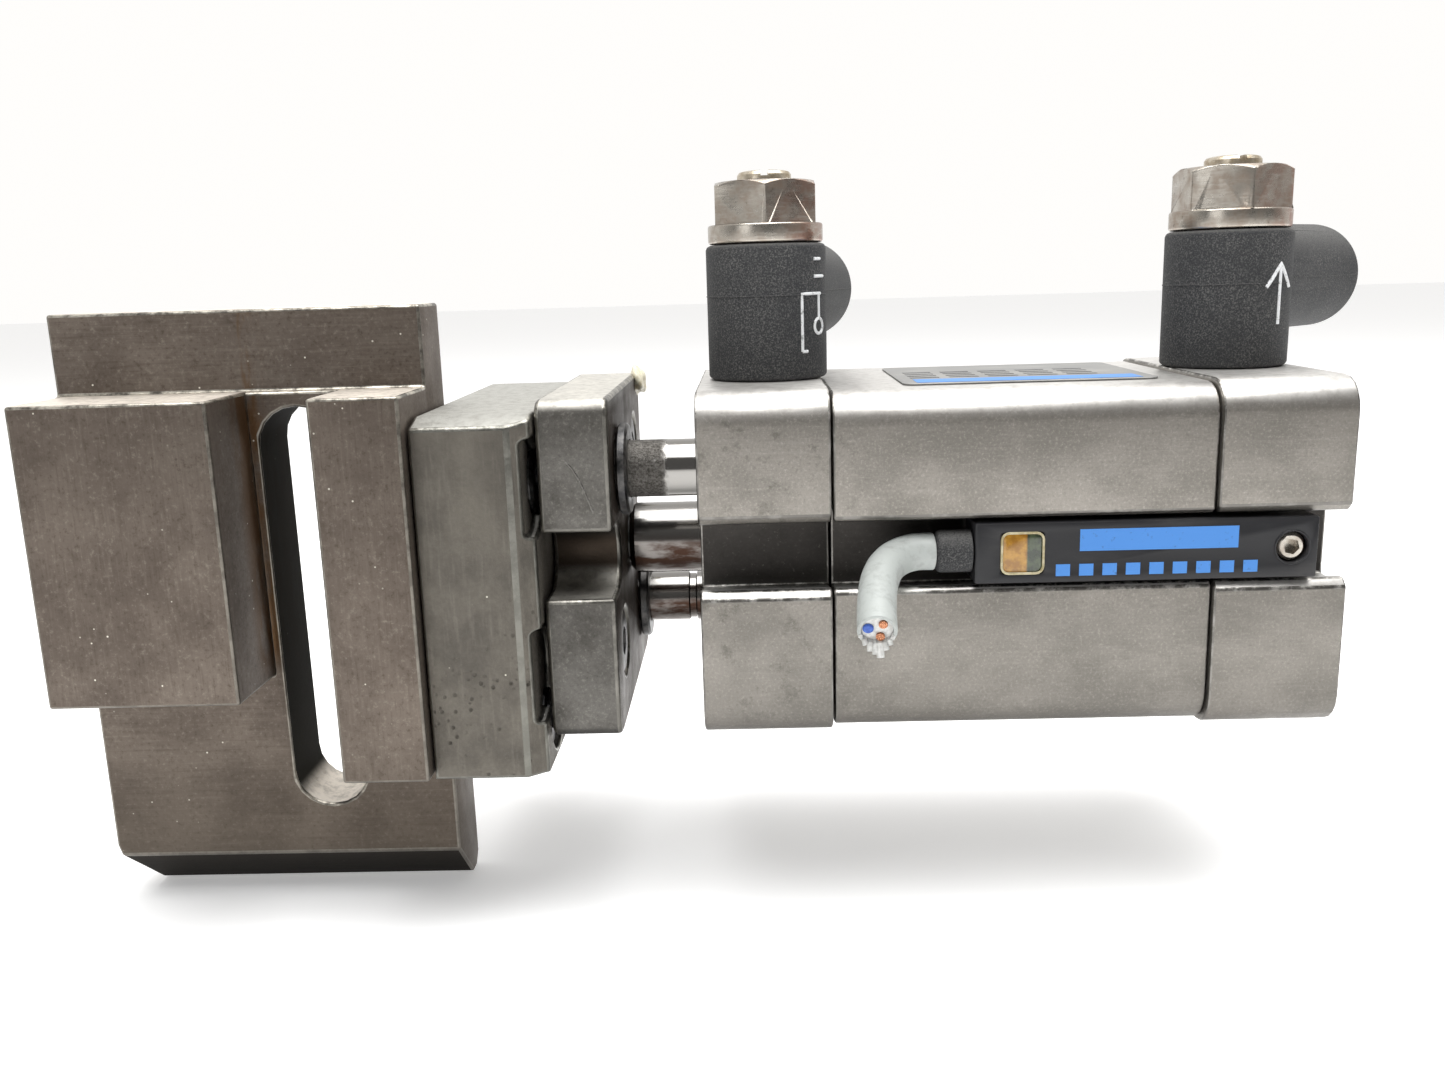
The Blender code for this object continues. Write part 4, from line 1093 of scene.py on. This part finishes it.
def make_wires(end, along):
    """Three wires cut back inside the sheath, two of them stripped to their copper."""
    looks = {"brown": LOOK["wire_brown"], "blue": LOOK["wire_blue"], "black": WIRE_BLACK}
    bare = {"brown": 0.5, "blue": 0.05, "black": 0.45}
    for color, look in looks.items():
        node = "cable_core_" + color
        tip = centre(node)
        tip += along * ((end - tip).dot(along) - 0.12 * MM)
        root = tip - along * 1.9 * MM
        cover = tip - along * bare[color] * MM
        wire = line(node + "_fine", [root, (root + cover) / 2, cover], 0.52, sides=6)
        stand_in(paint(wire, look), node)
        core = line(node + "_copper", [cover - along * 0.2 * MM, tip + along * 0.02 * MM], 0.42, sides=6)
        extra(paint(core, COPPER if color != "blue" else look), node)


def make_torn_rim(end, along):
    """Torn shreds of sheath that hang from the lower side of the cut."""
    down = (Z - along * Z.dot(along)).normalized() * -1
    side = along.cross(down)
    shreds = []
    for turn, reach, thick in ((-48, 0.5, 0.26), (-25, 0.8, 0.3), (-6, 1.0, 0.33), (9, 1.35, 0.36),
                               (27, 0.7, 0.28), (46, 0.45, 0.24), (68, 0.3, 0.2), (-72, 0.25, 0.2)):
        angle = math.radians(turn)
        foot = end + (down * math.cos(angle) + side * math.sin(angle)) * 1.6 * MM
        tip = foot + (down * 0.75 + along * 0.5) * reach * MM + side * math.sin(turn) * 0.15 * MM
        shreds.append(line("shred", [foot - along * 0.5 * MM, foot, tip], thick, sides=4))
    torn = join("cable_torn_rim", shreds)
    extra(paint(torn, FILLER), "cable_stub")


def make_yoke_scratch():
    """A bright curved scratch on the near face of the yoke's upper lobe."""
    low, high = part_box("yoke_plate")
    path = [Vector((high.x - (4.4 - 2.6 * t) * MM, low.y, (11.4 - 5.2 * t ** 1.6) * MM))
            for t in [step / 10 for step in range(11)]]
    scratch = line("yoke_scratch", path, 0.09, sides=3)
    extra(paint(scratch, EDGE_ALUMINIUM), "yoke_plate")


def make_grease_dab():
    """A small dab of pale grease on the yoke's far top corner."""
    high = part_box("yoke_plate")[1]
    bm = bmesh.new()
    bmesh.ops.create_icosphere(bm, subdivisions=4, radius=1.0)
    for vert in bm.verts:
        wave = 0.14 * math.sin(5 * vert.co.x + 3 * vert.co.z) + 0.1 * math.sin(7 * vert.co.y + 1)
        vert.co = vert.co * (1 + wave)
    mesh = bpy.data.meshes.new("yoke_grease")
    bm.to_mesh(mesh)
    bm.free()
    mesh.transform(Matrix.Translation((high.x + 0.15 * MM, high.y - 2.2 * MM, high.z - 0.9 * MM))
                   @ Matrix.Diagonal((1.1 * MM, 2.3 * MM, 1.6 * MM, 1)))
    mesh.shade_smooth()
    dab = add_object("yoke_grease", mesh)
    extra(paint(dab, GREASE), "yoke_plate")


# ---------------------------------------------------------------- stage

def add_camera():
    """Looks along +Y, tipped down and turned and rolled a little, as the picture was taken."""
    data = bpy.data.cameras.new("camera")
    data.sensor_width = 36
    data.lens = CAMERA_LENS
    data.clip_start = 1 * MM
    camera = add_object("camera", data)
    turn = Matrix.Rotation(math.radians(CAMERA_TURN), 4, "Z")
    down = Matrix.Rotation(math.radians(90 - CAMERA_DOWN), 4, "X")
    roll = Matrix.Rotation(math.radians(CAMERA_ROLL), 4, "Z")
    camera.matrix_world = Matrix.Translation(CAMERA_PLACE) @ turn @ down @ roll
    bpy.context.scene.camera = camera


def add_stage():
    floor_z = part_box("gripper_jaw")[0].z - 0.3 * MM
    bm = bmesh.new()
    bmesh.ops.create_grid(bm, x_segments=1, y_segments=1, size=3.0)
    mesh = bpy.data.meshes.new("floor")
    bm.to_mesh(mesh)
    bm.free()
    floor = add_object("floor", mesh)
    floor.location.z = floor_z
    shade = Shade("floor_white", roughness=0.9)
    shade.color((0.93, 0.93, 0.93))
    shade.shader.inputs["Emission Color"].default_value = (1.0, 1.0, 1.0, 1.0)
    shade.shader.inputs["Emission Strength"].default_value = 0.3
    paint(floor, shade.material)


def add_light(name, place, target, size, watts):
    data = bpy.data.lights.new(name, "AREA")
    data.shape = "RECTANGLE"
    data.size = size[0]
    data.size_y = size[1]
    data.energy = watts
    light = add_object(name, data)
    light.location = place
    light.rotation_mode = "QUATERNION"
    light.rotation_quaternion = (place - target).to_track_quat("Z", "Y")


def add_world():
    """Pale all round: brightest behind the object, darker behind the camera."""
    world = bpy.data.worlds.new("studio")
    bpy.context.scene.world = world
    world.use_nodes = True
    tree = world.node_tree
    background = tree.nodes["Background"]
    place = tree.nodes.new("ShaderNodeTexCoord")
    parts = tree.nodes.new("ShaderNodeSeparateXYZ")
    tree.links.new(place.outputs["Generated"], parts.inputs["Vector"])
    ramp = tree.nodes.new("ShaderNodeMapRange")
    ramp.interpolation_type = "SMOOTHSTEP"
    ramp.inputs["From Min"].default_value = -0.6
    ramp.inputs["From Max"].default_value = 0.5
    ramp.inputs["To Min"].default_value = 0.2
    ramp.inputs["To Max"].default_value = 1.0
    tree.links.new(parts.outputs["Y"], ramp.inputs["Value"])
    tree.links.new(ramp.outputs["Result"], background.inputs["Strength"])
    background.inputs["Color"].default_value = (1.0, 0.988, 0.97, 1.0)


def light_scene():
    target = Vector((-62, 0, 0)) * MM
    add_light("top_softbox", target + Vector((0.05, -0.05, 0.55)), target, (0.7, 0.5), 6.0)
    add_light("left_fill", target + Vector((-0.45, -0.5, 0.2)), target, (0.3, 0.3), 0.45)
    bpy.context.scene.view_settings.view_transform = "Standard"


# ---------------------------------------------------------------- making it

ELBOW_TOP = 32.1
FLANGE_TOP = 34.2
SEAM_Z = 26.7

LOOK = {"jaw_steel": jaw_steel(), "adapter_steel": adapter_steel(), "yoke_steel": yoke_steel(),
        "anodised_aluminium": anodised_aluminium(), "screw_steel": screw_steel(),
        "chromed_rod": chromed_rod(), "nickelled_brass": nickelled_brass(), "brass": brass(),
        "bearing_bronze": bearing_bronze(), "black_plastic": black_plastic(), "seal_rubber": seal_rubber(),
        "label_film": label_film(), "window_amber": window_amber(), "cable_sheath": cable_sheath(),
        "wire_brown": wire_plastic("wire_brown", (0.16, 0.045, 0.02), (0.3, 0.1, 0.045)),
        "wire_blue": wire_plastic("wire_blue", (0.02, 0.07, 0.35), (0.06, 0.16, 0.55))}
# Edge looks: rubbed bright edges with a painted highlight where they face up.
EDGE_JAW = worn_edge_and_highlight("jaw_edge", (0.62, 0.58, 0.5), (0.13, 0.118, 0.102), 0.38, 0.62)
EDGE_ADAPTER = worn_edge_and_highlight("adapter_edge", (0.42, 0.41, 0.37), (0.15, 0.147, 0.13), 0.4, 0.65)
EDGE_YOKE = worn_edge_and_highlight("yoke_edge", (0.5, 0.48, 0.43), (0.14, 0.134, 0.12), 0.4, 0.65)
EDGE_ALUMINIUM = worn_edge_and_highlight("aluminium_edge", (0.72, 0.7, 0.66), (0.16, 0.152, 0.14), 0.45, 0.62)
BRIGHT_ROD = bright_rod()
CLEAN_PLASTIC = clean_plastic()
PRINT_BLUE = print_blue()
PRINT_WHITE = print_white()
PRINT_DARK = wire_plastic("print_dark", (0.05, 0.05, 0.052), (0.1, 0.1, 0.1))
WINDOW_RIM = window_rim()
FILLER = wire_plastic("cable_filler", (0.5, 0.5, 0.48), (0.72, 0.72, 0.7))
WIRE_BLACK = wire_plastic("wire_black", (0.015, 0.015, 0.015), (0.05, 0.05, 0.05))
COPPER = copper()
GREASE = grease()

for cad_node, cad_object in frame["nodes"].items():
    paint(cad_object, LOOK[SLOT_OF[cad_node]])

add_camera()
add_stage()
add_world()
light_scene()
make_housing()
make_carriage_plates()
make_rods()
make_screws()
for valve in ("front", "rear"):
    make_valve(valve)
make_front_mark()
make_rear_mark()
make_label()
make_sensor()
make_cable()
make_grease_dab()
make_yoke_scratch()
